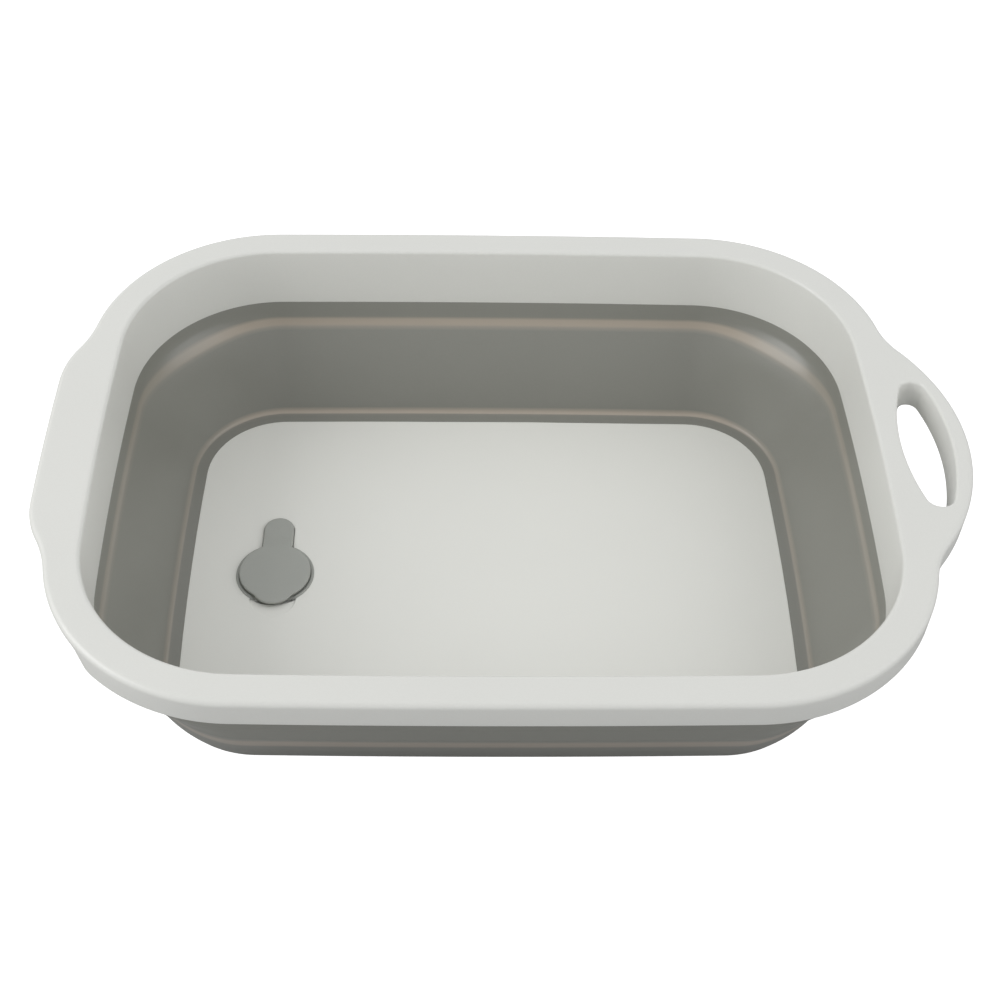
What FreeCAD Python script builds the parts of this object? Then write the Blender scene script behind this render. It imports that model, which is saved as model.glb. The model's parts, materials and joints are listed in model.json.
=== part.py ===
"""Folding pet bathtub: a rigid rim with two grips, an elastic wall that rolls inside out at two fold
lines, a rigid floor with a drain, and a drain plug on a strap.  All sizes are in millimetres.

Frame: +X runs from the solid grip tab to the grip loop, +Z is up, and the origin is at the bottom
centre of the whole tub.  Heights called "depth" are measured down from the top of the rim.

The basin's outline is a rectangle with bowed sides and round corners: eight tangent arcs.  Every ring
round the basin is one profile of (offset, height) points carried along such a chain of arcs, where the
offset is positive away from the basin's middle.
"""
import FreeCAD, Part
import math
import os

V = FreeCAD.Vector
UP = V(0, 0, 1)

# ---------------------------------------------------------------- driving dimensions
# Opening of the basin, at the top of the rim
OPENING_HALF_LENGTH = 214.7
OPENING_HALF_WIDTH = 162.0
CORNER_RADIUS = 86.0
END_BOW_RADIUS = 2200.0
SIDE_BOW_RADIUS = 8000.0

# Rim frame: flange, skirt and collar
FLANGE_WIDTH = 19.1
FLANGE_THICKNESS = 2.6
FLANGE_EDGE_ROUND = 3.2
OPENING_EDGE_ROUND = 1.8
SKIRT_DEPTH = 17.0
SKIRT_WALL = 2.4
SKIRT_DRAFT = 0.4
COLLAR_WALL = 2.6
COLLAR_DEPTH = 39.0
COLLAR_LEAN = 1.6
TONGUE_LENGTH = 5.5
TONGUE_STEP = 1.0
RIB_THICKNESS = 1.8
RIB_DEPTH = 11.0
RIB_OFFSET = 14.0

# Grip loop at the +X end, with a hand hole
LOOP_REACH = 50.6
LOOP_RADIUS = 125.0
LOOP_FILLET = 49.0
HOLE_HALF_WIDTH = 14.2
HOLE_HALF_LENGTH = 48.5
HOLE_END_RADIUS = 8.0
HOLE_OUTER_STRIP = 10.0
HOLE_WALL = 2.4
HOLE_EDGE_ROUND = 2.4

# Solid grip tab at the -X end
TAB_REACH = 30.8
TAB_FLAT_HALF_WIDTH = 47.0
TAB_CORNER_RADIUS = 57.0
TAB_FILLET = 70.0

# Elastic wall
SLEEVE_DEPTH = 33.0
SLEEVE_WALL = 1.2
UPPER_FOLD_DEPTH = 55.0
UPPER_FOLD_INSET = 2.6
PANEL_HEIGHT = 52.8
PANEL_RUN = 27.9
PANEL_WALL = 3.0
FOLD_WALL = 1.7
FOLD_HALF_HEIGHT = 4.0
HEEL_ROUND = 1.8
BODY_GAP = 0.3

# Floor
STRIP_WIDTH = 7.5
STRIP_FALL = 1.0
PLATE_THICKNESS = 3.6
EDGE_TONGUE_REACH = 5.0
EDGE_TONGUE_TOP = 1.2
EDGE_TONGUE_THICKNESS = 1.2
PLATE_RIB_THICKNESS = 2.0
PLATE_RIB_HEIGHT = 2.2
PLATE_RIB_INSET = 30.0
PLATE_RIB_Y = 52.0
PLATE_RIB_XS = (-66.0, 22.0, 110.0)
PLATE_RIB_CLEARANCE = 1.5

# Feet, one pad along each corner
FOOT_HEIGHT = 5.6
FOOT_WIDTH = 12.0
FOOT_INSET = 14.0
FOOT_SOCKET = 1.0
FOOT_END_ANGLE = 16.0
FOOT_EDGE_ROUND = 1.2

# Drain: seat ring, plug and strap
DRAIN_X = -126.7
DRAIN_Y = -6.0
SEAT_RADIUS = 23.0
SEAT_PROUD = 0.4
SEAT_RIM_WIDTH = 1.8
SEAT_STEP = 1.0
SEAT_FLANGE = 1.2
SEAT_LEDGE = 3.0
GROMMET_WALL = 2.5
SEAT_LIP_REACH = 2.0
SEAT_LIP_THICKNESS = 1.4
PLUG_RADIAL_GAP = 0.7
PLUG_BOSS_GAP = 0.5
PLUG_THICKNESS = 2.6
PLUG_BOSS_DEPTH = 5.2
PLUG_BOSS_TAPER = 1.4
PLUG_BOSS_WALL = 2.4
PLUG_EDGE_ROUND = 0.7
LIP_RADIUS = 11.0
LIP_REACH = 4.8
LIP_THICKNESS = 1.5
STRAP_WIDTH = 18.0
STRAP_LENGTH = 22.3
STRAP_DROP = 0.2
STRAP_SEAT = 1.6
STRAP_HINGE_GAP = 0.4
POCKET_GAP = 0.4
ANCHOR_RADIUS = 2.0
ANCHOR_HOLE_GAP = 0.2
ANCHOR_HEAD_RADIUS = 4.0
ANCHOR_HEAD_HEIGHT = 1.5
SCOOP_RADIUS = 13.4
SCOOP_REACH = 9.2
SCOOP_DEEP = 1.8
SCOOP_SHALLOW = 0.3

# ---------------------------------------------------------------- worked-out sizes
SLOPE = PANEL_RUN / PANEL_HEIGHT
PANEL_WALL_ACROSS = PANEL_WALL * math.hypot(1.0, SLOPE)
LOWER_FOLD_DEPTH = UPPER_FOLD_DEPTH + PANEL_HEIGHT
LOWER_FOLD_INSET = UPPER_FOLD_INSET + PANEL_RUN
FLOOR_DEPTH = LOWER_FOLD_DEPTH + STRIP_FALL
FLOOR_INSET = LOWER_FOLD_INSET + STRIP_WIDTH
PLATE_BOTTOM_DEPTH = FLOOR_DEPTH + PLATE_THICKNESS
TOTAL_HEIGHT = PLATE_BOTTOM_DEPTH + FOOT_HEIGHT
FLOOR_Z = TOTAL_HEIGHT - FLOOR_DEPTH
PLATE_BOTTOM_Z = TOTAL_HEIGHT - PLATE_BOTTOM_DEPTH
FOLD_TRAVEL = 2.0 * PANEL_HEIGHT
BASIN_X = (TAB_REACH - LOOP_REACH) / 2.0
OVERLAP = 1.0


# ---------------------------------------------------------------- outlines made of arcs
def circle_crossing(centre_a, radius_a, centre_b, radius_b, pick):
    """The point at radius_a from centre_a and radius_b from centre_b; pick chooses between the two."""
    ax, ay = centre_a
    bx, by = centre_b
    span = math.hypot(bx - ax, by - ay)
    along = (radius_a**2 - radius_b**2 + span**2) / (2.0 * span)
    aside = math.sqrt(radius_a**2 - along**2)
    ex, ey = (bx - ax) / span, (by - ay) / span
    points = [
        (ax + ex * along - ey * aside, ay + ey * along + ex * aside),
        (ax + ex * along + ey * aside, ay + ey * along - ex * aside),
    ]
    return max(points, key=pick)


def angle_to(centre, point):
    """The direction from centre to point, in radians."""
    return math.atan2(point[1] - centre[1], point[0] - centre[0])


END_CENTRE = (OPENING_HALF_LENGTH - END_BOW_RADIUS, 0.0)
SIDE_CENTRE = (0.0, OPENING_HALF_WIDTH - SIDE_BOW_RADIUS)
CORNER_CENTRE = circle_crossing(
    END_CENTRE, END_BOW_RADIUS - CORNER_RADIUS,
    SIDE_CENTRE, SIDE_BOW_RADIUS - CORNER_RADIUS,
    lambda p: p[0] + p[1],
)
END_ANGLE = angle_to(END_CENTRE, CORNER_CENTRE)
SIDE_ANGLE = angle_to(SIDE_CENTRE, CORNER_CENTRE)


def mirrored_in_y(arc):
    """The arc's mirror image across the X axis, walked so that the chain stays counterclockwise."""
    cx, cy, radius, start, end = arc
    return (cx, -cy, radius, -end, -start)


def basin_chain():
    """The basin's own outline: eight arcs (centre x, centre y, radius, start, end), counterclockwise."""
    ex, sy = END_CENTRE[0], SIDE_CENTRE[1]
    cx, cy = CORNER_CENTRE
    upper = [
        (cx, cy, CORNER_RADIUS, END_ANGLE, SIDE_ANGLE),
        (0.0, sy, SIDE_BOW_RADIUS, SIDE_ANGLE, math.pi - SIDE_ANGLE),
        (-cx, cy, CORNER_RADIUS, math.pi - SIDE_ANGLE, math.pi - END_ANGLE),
    ]
    left_end = (-ex, 0.0, END_BOW_RADIUS, math.pi - END_ANGLE, math.pi + END_ANGLE)
    right_end = (ex, 0.0, END_BOW_RADIUS, -END_ANGLE, END_ANGLE)
    return [right_end] + upper + [left_end] + [mirrored_in_y(a) for a in reversed(upper)]


def grip_chain():
    """The flange's outline: the basin's, set out by the flange, with the grip loop and the grip tab.

    An arc whose end angle is below its start angle is hollow, with its centre outside the outline."""
    cx, cy = CORNER_CENTRE
    corner_radius = CORNER_RADIUS + FLANGE_WIDTH
    outward = lambda p: abs(p[0]) + abs(p[1])

    loop_centre = (OPENING_HALF_LENGTH + LOOP_REACH - LOOP_RADIUS, 0.0)
    loop_fillet = circle_crossing(
        loop_centre, LOOP_RADIUS + LOOP_FILLET, (cx, cy), corner_radius + LOOP_FILLET, outward
    )
    loop_angle = angle_to(loop_centre, loop_fillet)

    tab_arc_radius = END_BOW_RADIUS + TAB_REACH
    tab_corner_turn = math.asin(TAB_FLAT_HALF_WIDTH / tab_arc_radius)
    tab_corner_y = (tab_arc_radius - TAB_CORNER_RADIUS) * math.sin(tab_corner_turn)
    tab_corner_x = -END_CENTRE[0] - (tab_arc_radius - TAB_CORNER_RADIUS) * math.cos(tab_corner_turn)
    tab_corner = (tab_corner_x, tab_corner_y)
    tab_fillet = circle_crossing(
        tab_corner, TAB_CORNER_RADIUS + TAB_FILLET, (-cx, cy), corner_radius + TAB_FILLET, outward
    )

    upper = [
        (*loop_fillet, LOOP_FILLET,
         angle_to(loop_fillet, loop_centre) + 2 * math.pi, angle_to(loop_fillet, (cx, cy)) + 2 * math.pi),
        (cx, cy, corner_radius, angle_to((cx, cy), loop_fillet), SIDE_ANGLE),
        (0.0, SIDE_CENTRE[1], SIDE_BOW_RADIUS + FLANGE_WIDTH, SIDE_ANGLE, math.pi - SIDE_ANGLE),
        (-cx, cy, corner_radius, math.pi - SIDE_ANGLE, angle_to((-cx, cy), tab_fillet)),
        (*tab_fillet, TAB_FILLET,
         angle_to(tab_fillet, (-cx, cy)), angle_to(tab_fillet, tab_corner)),
        (*tab_corner, TAB_CORNER_RADIUS, angle_to(tab_corner, tab_fillet), math.pi - tab_corner_turn),
    ]
    tab_arc = (-END_CENTRE[0], 0.0, tab_arc_radius, math.pi - tab_corner_turn, math.pi + tab_corner_turn)
    loop_arc = (*loop_centre, LOOP_RADIUS, -loop_angle, loop_angle)
    return [loop_arc] + upper + [tab_arc] + [mirrored_in_y(a) for a in reversed(upper)]


HOLE_X = OPENING_HALF_LENGTH + LOOP_REACH - HOLE_OUTER_STRIP - HOLE_HALF_WIDTH


def hole_chain():
    """The hand hole's outline: two long flat arcs and two end arcs, tangent to each other."""
    end_y = HOLE_HALF_LENGTH - HOLE_END_RADIUS
    long_radius = (HOLE_HALF_WIDTH**2 + end_y**2 - HOLE_END_RADIUS**2) / (
        2.0 * (HOLE_HALF_WIDTH - HOLE_END_RADIUS)
    )
    shift = long_radius - HOLE_HALF_WIDTH
    turn = math.atan2(end_y, shift)
    return [
        (HOLE_X - shift, 0.0, long_radius, -turn, turn),
        (HOLE_X, end_y, HOLE_END_RADIUS, turn, math.pi - turn),
        (HOLE_X + shift, 0.0, long_radius, math.pi - turn, math.pi + turn),
        (HOLE_X, -end_y, HOLE_END_RADIUS, math.pi + turn, 2.0 * math.pi - turn),
    ]


def arc_radius(arc, offset):
    """The arc's radius once its outline is set out by offset."""
    return arc[2] + (offset if arc[4] > arc[3] else -offset)


def chain_wire(chain, offset, z):
    """The closed wire of a chain of arcs, set out by offset, at height z."""
    edges = []
    for arc in chain:
        cx, cy, _, start, end = arc
        radius = arc_radius(arc, offset)
        points = [
            V(cx + radius * math.cos(a), cy + radius * math.sin(a), z)
            for a in (start, (start + end) / 2.0, end)
        ]
        edges.append(Part.Arc(*points).toShape())
    return Part.Wire(Part.__sortEdges__(edges))


def chain_prism(chain, offset, z_low, z_high):
    """The upright prism inside a chain of arcs."""
    face = Part.Face(chain_wire(chain, offset, z_low))
    return face.extrude(V(0, 0, z_high - z_low))


# ---------------------------------------------------------------- profiles
def rounded_profile(corners):
    """A closed face in the XZ plane through corners (x, z) or (x, z, round), each round a tangent arc."""
    count = len(corners)
    places = [V(c[0], 0, c[1]) for c in corners]
    rounds = [c[2] if len(c) > 2 else 0.0 for c in corners]
    ends, arcs = [], []
    for i, place in enumerate(places):
        before = (places[i - 1] - place).normalize()
        after = (places[(i + 1) % count] - place).normalize()
        if rounds[i] == 0.0:
            ends.append((place, place))
            arcs.append(None)
            continue
        half = before.getAngle(after) / 2.0
        reach = rounds[i] / math.tan(half)
        inward = (before + after).normalize()
        middle = place + inward * (rounds[i] / math.sin(half) - rounds[i])
        ends.append((place + before * reach, place + after * reach))
        arcs.append(Part.Arc(ends[-1][0], middle, ends[-1][1]).toShape())
    edges = []
    for i in range(count):
        if arcs[i] is not None:
            edges.append(arcs[i])
        start, end = ends[i][1], ends[(i + 1) % count][0]
        if start.distanceToPoint(end) > 1e-6:
            edges.append(Part.LineSegment(start, end).toShape())
    return Part.Face(Part.Wire(edges))


def swept_arc(arc, corners):
    """One stretch of a ring: the profile (offset, z[, round]) turned about the arc's centre."""
    cx, cy, radius, start, end = arc
    sign = 1.0 if end > start else -1.0
    face = rounded_profile([(radius + sign * c[0],) + tuple(c[1:]) for c in corners])
    face.rotate(V(0, 0, 0), UP, math.degrees(start))
    face.translate(V(cx, cy, 0))
    return face.revolve(V(cx, cy, 0), UP, math.degrees(end - start))


def ring(chain, corners):
    """A closed ring: the profile carried along the whole chain of arcs."""
    stretches = [swept_arc(arc, corners) for arc in chain]
    return stretches[0].multiFuse(stretches[1:]).removeSplitter()


def turned(corners, x, y):
    """A solid of revolution about the upright axis at (x, y), from (radius, z[, round]) corners."""
    solid = rounded_profile(corners).revolve(V(0, 0, 0), UP, 360.0)
    solid.translate(V(x, y, 0))
    return solid


def cylinder(radius, z_low, z_high, x, y):
    """An upright cylinder."""
    return Part.makeCylinder(radius, z_high - z_low, V(x, y, z_low))


def block(x_low, x_high, y_low, y_high, z_low, z_high):
    """A box between two corners."""
    return Part.makeBox(x_high - x_low, y_high - y_low, z_high - z_low, V(x_low, y_low, z_low))


def depth(value):
    """The height of a point that lies value below the top of the rim."""
    return TOTAL_HEIGHT - value


# ---------------------------------------------------------------- the wall's section lines
def collar_inner(at_depth):
    """The collar's inner face leans inwards on its way down."""
    return -COLLAR_LEAN * at_depth / COLLAR_DEPTH


def collar_outer(at_depth):
    """The collar's outer face."""
    return collar_inner(at_depth) + COLLAR_WALL


def panel_inner(at_depth):
    """The sloping panel's inner face, between the two folds."""
    return -UPPER_FOLD_INSET - SLOPE * (at_depth - UPPER_FOLD_DEPTH)


def panel_outer(at_depth):
    """The sloping panel's outer face."""
    return panel_inner(at_depth) + PANEL_WALL_ACROSS


def panel_depth_at(offset, outer):
    """The depth where the sloping panel's inner or outer face reaches an offset."""
    across = PANEL_WALL_ACROSS if outer else 0.0
    return UPPER_FOLD_DEPTH + (across - UPPER_FOLD_INSET - offset) / SLOPE


UPPER_SPLIT = -UPPER_FOLD_INSET - BODY_GAP
TONGUE_DEPTH = COLLAR_DEPTH + TONGUE_LENGTH


# ---------------------------------------------------------------- rim body
def rim_frame():
    """Rim: collar, flange and skirt in one moulding, with the grip loop, the grip tab and ribs."""
    basin, grip, hole = basin_chain(), grip_chain(), hole_chain()
    top, under = depth(0.0), depth(FLANGE_THICKNESS)
    collar = ring(basin, [
        (0.0, top, OPENING_EDGE_ROUND),
        (COLLAR_WALL + 2 * OVERLAP, top),
        (COLLAR_WALL + 2 * OVERLAP, under),
        (collar_outer(FLANGE_THICKNESS), under),
        (collar_outer(TONGUE_DEPTH), depth(TONGUE_DEPTH)),
        (collar_inner(TONGUE_DEPTH) + TONGUE_STEP, depth(TONGUE_DEPTH)),
        (collar_inner(COLLAR_DEPTH) + TONGUE_STEP, depth(COLLAR_DEPTH)),
        (collar_inner(COLLAR_DEPTH), depth(COLLAR_DEPTH)),
    ])
    strip = SKIRT_WALL + FLANGE_EDGE_ROUND + OVERLAP
    skirt = ring(grip, [
        (-strip, top),
        (0.0, top, FLANGE_EDGE_ROUND),
        (-SKIRT_DRAFT, depth(SKIRT_DEPTH)),
        (-SKIRT_DRAFT - SKIRT_WALL, depth(SKIRT_DEPTH)),
        (-SKIRT_WALL, under),
        (-strip, under),
    ])
    hole_wall = ring(hole, [
        (0.0, top, HOLE_EDGE_ROUND),
        (HOLE_WALL + OVERLAP, top),
        (HOLE_WALL + OVERLAP, under),
        (HOLE_WALL, under),
        (HOLE_WALL, depth(SKIRT_DEPTH)),
        (0.0, depth(SKIRT_DEPTH)),
    ])
    plate = chain_prism(grip, OVERLAP - strip, under, top)
    plate = plate.cut(chain_prism(basin, COLLAR_WALL + OVERLAP, under, top))
    plate = plate.cut(chain_prism(hole, HOLE_WALL, under, top))
    ribs = rim_ribs(basin, grip, hole, under)
    return plate.multiFuse([collar, skirt, hole_wall] + ribs).removeSplitter()


def rim_ribs(basin, grip, hole, under):
    """Thin upright ribs under the flange, from the collar to the skirt, clear of both grips' middles."""
    low = depth(FLANGE_THICKNESS + RIB_DEPTH)
    high = under + OVERLAP
    channel = chain_prism(grip, -SKIRT_WALL / 2.0, low, high)
    channel = channel.cut(chain_prism(basin, COLLAR_WALL / 2.0, low, high))
    channel = channel.cut(chain_prism(hole, HOLE_WALL / 2.0, low, high))
    half = RIB_THICKNESS / 2.0
    far_x = OPENING_HALF_LENGTH + LOOP_REACH
    far_y = OPENING_HALF_WIDTH + FLANGE_WIDTH
    side_xs = [share * CORNER_CENTRE[0] for share in (-1.0, -1.0 / 3.0, 1.0 / 3.0, 1.0)]
    grip_y = TAB_FLAT_HALF_WIDTH + RIB_OFFSET
    bars = [block(x - half, x + half, -far_y, far_y, low, high) for x in side_xs]
    bars += [block(-far_x, far_x, y - half, y + half, low, high) for y in (-grip_y, grip_y)]
    ribs = []
    for bar in bars:
        ribs += [piece for piece in channel.common(bar).Solids]
    return ribs


def wall_upper_band():
    """Elastic band that grips the collar's lower edge and runs down to the upper fold."""
    fold_top = UPPER_FOLD_DEPTH - FOLD_HALF_HEIGHT
    fold_end = UPPER_FOLD_DEPTH + FOLD_HALF_HEIGHT
    split = UPPER_SPLIT + BODY_GAP / 2.0
    return ring(basin_chain(), [
        (collar_inner(COLLAR_DEPTH), depth(COLLAR_DEPTH)),
        (collar_inner(COLLAR_DEPTH) + TONGUE_STEP, depth(COLLAR_DEPTH)),
        (collar_inner(TONGUE_DEPTH) + TONGUE_STEP, depth(TONGUE_DEPTH)),
        (collar_outer(TONGUE_DEPTH), depth(TONGUE_DEPTH)),
        (collar_outer(SLEEVE_DEPTH), depth(SLEEVE_DEPTH)),
        (collar_outer(SLEEVE_DEPTH) + SLEEVE_WALL, depth(SLEEVE_DEPTH)),
        (collar_outer(TONGUE_DEPTH) + SLEEVE_WALL, depth(TONGUE_DEPTH)),
        (PANEL_WALL - UPPER_FOLD_INSET, depth(fold_top)),
        (FOLD_WALL - UPPER_FOLD_INSET, depth(UPPER_FOLD_DEPTH)),
        (panel_outer(fold_end), depth(fold_end)),
        (split, depth(panel_depth_at(split, True))),
        (split, depth(panel_depth_at(split, False))),
        (-UPPER_FOLD_INSET, depth(UPPER_FOLD_DEPTH)),
    ])


# ---------------------------------------------------------------- fold panel body
def wall_fold_panel():
    """Sloping elastic panel between the folds, with the rounded heel that turns under the wall."""
    split_top = UPPER_SPLIT - BODY_GAP / 2.0
    split_low = -LOWER_FOLD_INSET
    heel_depth = LOWER_FOLD_DEPTH + PANEL_WALL + STRIP_FALL
    return ring(basin_chain(), [
        (split_top, depth(panel_depth_at(split_top, False))),
        (split_top, depth(panel_depth_at(split_top, True))),
        (panel_outer(heel_depth), depth(heel_depth), HEEL_ROUND),
        (split_low, depth(heel_depth)),
        (split_low, depth(LOWER_FOLD_DEPTH)),
    ])


# ---------------------------------------------------------------- base body
def wall_lower_ring():
    """Flat elastic strip round the floor, moulded over the tongue on the floor plate's edge."""
    tongue_top = FLOOR_DEPTH + EDGE_TONGUE_TOP
    tongue_low = tongue_top + EDGE_TONGUE_THICKNESS
    tongue_out = -FLOOR_INSET + EDGE_TONGUE_REACH
    outer = -LOWER_FOLD_INSET - BODY_GAP
    return ring(basin_chain(), [
        (outer, depth(LOWER_FOLD_DEPTH + STRIP_FALL * BODY_GAP / STRIP_WIDTH)),
        (-FLOOR_INSET, depth(FLOOR_DEPTH)),
        (-FLOOR_INSET, depth(tongue_top)),
        (tongue_out, depth(tongue_top)),
        (tongue_out, depth(tongue_low)),
        (-FLOOR_INSET, depth(tongue_low)),
        (-FLOOR_INSET, depth(PLATE_BOTTOM_DEPTH)),
        (outer, depth(PLATE_BOTTOM_DEPTH)),
    ])


def floor_plate():
    """Rigid floor, with the drain hole, the strap's pocket, the finger scoop, ribs and foot sockets."""
    basin = basin_chain()
    tongue_top = FLOOR_DEPTH + EDGE_TONGUE_TOP
    tongue_low = tongue_top + EDGE_TONGUE_THICKNESS
    plate = chain_prism(basin, -FLOOR_INSET, PLATE_BOTTOM_Z, FLOOR_Z)
    tongue = chain_prism(
        basin, -FLOOR_INSET + EDGE_TONGUE_REACH, depth(tongue_low), depth(tongue_top)
    )
    plate = plate.multiFuse([tongue] + plate_ribs(basin))
    cutters = [drain_cutter(), pocket_cutter(), scoop_cutter()]
    cutters += [foot_pad(arc, FOOT_SOCKET) for arc in corner_arcs()]
    return plate.cut(Part.Compound(cutters)).removeSplitter()


def plate_ribs(basin):
    """A stiffening frame under the floor: one rib round its edge, two lengthwise and three across."""
    low, high = PLATE_BOTTOM_Z - PLATE_RIB_HEIGHT, PLATE_BOTTOM_Z + OVERLAP
    outer = -FLOOR_INSET - PLATE_RIB_INSET
    half = PLATE_RIB_THICKNESS / 2.0
    field = chain_prism(basin, outer, low, high)
    frame = field.cut(chain_prism(basin, outer - PLATE_RIB_THICKNESS, low, high))
    far_x, far_y = OPENING_HALF_LENGTH, OPENING_HALF_WIDTH
    bars = [block(-far_x, far_x, y - half, y + half, low, high) for y in (-PLATE_RIB_Y, PLATE_RIB_Y)]
    bars += [block(x - half, x + half, -far_y, far_y, low, high) for x in PLATE_RIB_XS]
    drain = cylinder(SLEEVE_RADIUS + SEAT_LIP_REACH + PLATE_RIB_CLEARANCE, low, high, DRAIN_X, DRAIN_Y)
    anchor = cylinder(ANCHOR_HEAD_RADIUS + PLATE_RIB_CLEARANCE, low, high, DRAIN_X, ANCHOR_Y)
    keep_out = Part.Compound([drain, anchor])
    ribs = []
    for rib in [frame] + [field.common(bar) for bar in bars]:
        ribs += rib.cut(keep_out).Solids
    return ribs


def corner_arcs():
    """The four corner arcs of the basin, shortened at both ends for the feet."""
    ease = math.radians(FOOT_END_ANGLE)
    corners = [arc for arc in basin_chain() if arc[2] == CORNER_RADIUS]
    return [(cx, cy, radius, start + ease, end - ease) for cx, cy, radius, start, end in corners]


def foot_pad(arc, socket, height=0.0):
    """A bean-shaped pad along a corner: from socket inside the plate to height below it."""
    inner = -FLOOR_INSET - FOOT_INSET - FOOT_WIDTH
    middle = inner + FOOT_WIDTH / 2.0
    low, high = PLATE_BOTTOM_Z - height, PLATE_BOTTOM_Z + socket
    pad = swept_arc(arc, [
        (inner, low), (inner + FOOT_WIDTH, low), (inner + FOOT_WIDTH, high), (inner, high),
    ])
    cx, cy, radius, start, end = arc
    ends = [
        cylinder(FOOT_WIDTH / 2.0, low, high,
                 cx + (radius + middle) * math.cos(a), cy + (radius + middle) * math.sin(a))
        for a in (start, end)
    ]
    return pad.multiFuse(ends).removeSplitter()


def feet():
    """Four soft pads with a rounded lower edge, keyed by the corner that they stand under."""
    names = ("foot_back_right", "foot_back_left", "foot_front_left", "foot_front_right")
    pads = {}
    for name, arc in zip(names, corner_arcs()):
        pad = foot_pad(arc, FOOT_SOCKET, FOOT_HEIGHT)
        rim = [
            edge for edge in pad.Edges
            if max(abs(vertex.Point.z) for vertex in edge.Vertexes) < 1e-6
        ]
        pads[name] = pad.makeFillet(FOOT_EDGE_ROUND, rim)
    return pads


# ---------------------------------------------------------------- drain
SLEEVE_RADIUS = SEAT_RADIUS - SEAT_LEDGE
DRAIN_RADIUS = SLEEVE_RADIUS - GROMMET_WALL
SEAT_TOP_Z = FLOOR_Z + SEAT_PROUD - SEAT_STEP
SEAT_BOTTOM_Z = SEAT_TOP_Z - SEAT_FLANGE
SEAT_RIM_INNER = SEAT_RADIUS - SEAT_RIM_WIDTH
PLUG_RADIUS = SEAT_RIM_INNER - PLUG_RADIAL_GAP
PLUG_TOP_Z = SEAT_TOP_Z + PLUG_THICKNESS
LIP_Y = DRAIN_Y - PLUG_RADIUS - LIP_REACH + LIP_RADIUS
SCOOP_Y = DRAIN_Y - SEAT_RADIUS - SCOOP_REACH + SCOOP_RADIUS
HINGE_Y = DRAIN_Y + PLUG_RADIUS + STRAP_HINGE_GAP
STRAP_TOP_Z = PLUG_TOP_Z - STRAP_DROP
STRAP_END_Y = HINGE_Y + STRAP_LENGTH
ANCHOR_Y = STRAP_END_Y - STRAP_WIDTH / 2.0


def drain_cutter():
    """Counterbore for the seat ring's flange and the hole for its sleeve."""
    bore = cylinder(SLEEVE_RADIUS, PLATE_BOTTOM_Z - OVERLAP, FLOOR_Z, DRAIN_X, DRAIN_Y)
    return bore.fuse(cylinder(SEAT_RADIUS, SEAT_BOTTOM_Z, FLOOR_Z + OVERLAP, DRAIN_X, DRAIN_Y))


def strap_blank(gap, y_low, z_low, z_high):
    """A straight tongue with a round far end, as wide as the strap and gap on each side."""
    half = STRAP_WIDTH / 2.0 + gap
    bar = block(DRAIN_X - half, DRAIN_X + half, y_low, ANCHOR_Y, z_low, z_high)
    end = Part.makeCylinder(half, z_high - z_low, V(DRAIN_X, ANCHOR_Y, z_low), UP, 180.0)
    return bar.fuse(end).removeSplitter()


def pocket_cutter():
    """The strap's pocket in the floor, and the hole for its anchor."""
    pocket = strap_blank(POCKET_GAP, DRAIN_Y, FLOOR_Z - STRAP_SEAT, FLOOR_Z + OVERLAP)
    hole = cylinder(
        ANCHOR_RADIUS + ANCHOR_HOLE_GAP, PLATE_BOTTOM_Z - OVERLAP, FLOOR_Z, DRAIN_X, ANCHOR_Y
    )
    return pocket.fuse(hole)


def scoop_cutter():
    """A round finger scoop in front of the plug, deep at the plug and shallow at its far edge."""
    y = SCOOP_Y
    scoop = cylinder(SCOOP_RADIUS, FLOOR_Z - SCOOP_DEEP, FLOOR_Z + OVERLAP, DRAIN_X, y)
    slope = Part.Face(Part.makePolygon([
        V(DRAIN_X - SCOOP_RADIUS, y - SCOOP_RADIUS, FLOOR_Z - SCOOP_SHALLOW),
        V(DRAIN_X - SCOOP_RADIUS, y + SCOOP_RADIUS, FLOOR_Z - SCOOP_DEEP),
        V(DRAIN_X - SCOOP_RADIUS, y + SCOOP_RADIUS, FLOOR_Z + OVERLAP),
        V(DRAIN_X - SCOOP_RADIUS, y - SCOOP_RADIUS, FLOOR_Z + OVERLAP),
        V(DRAIN_X - SCOOP_RADIUS, y - SCOOP_RADIUS, FLOOR_Z - SCOOP_SHALLOW),
    ]))
    return scoop.common(slope.extrude(V(2.0 * SCOOP_RADIUS, 0, 0)))


def drain_seat_ring():
    """Soft grommet in the drain hole: a rim flush with the floor, a seat, a sleeve and a lower lip."""
    return turned([
        (DRAIN_RADIUS, SEAT_TOP_Z),
        (SEAT_RIM_INNER, SEAT_TOP_Z),
        (SEAT_RIM_INNER, FLOOR_Z + SEAT_PROUD),
        (SEAT_RADIUS, FLOOR_Z + SEAT_PROUD),
        (SEAT_RADIUS, SEAT_BOTTOM_Z),
        (SLEEVE_RADIUS, SEAT_BOTTOM_Z),
        (SLEEVE_RADIUS, PLATE_BOTTOM_Z),
        (SLEEVE_RADIUS + SEAT_LIP_REACH, PLATE_BOTTOM_Z),
        (SLEEVE_RADIUS + SEAT_LIP_REACH, PLATE_BOTTOM_Z - SEAT_LIP_THICKNESS / 2.0),
        (SLEEVE_RADIUS, PLATE_BOTTOM_Z - SEAT_LIP_THICKNESS),
        (DRAIN_RADIUS, PLATE_BOTTOM_Z - SEAT_LIP_THICKNESS),
    ], DRAIN_X, DRAIN_Y)


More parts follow.
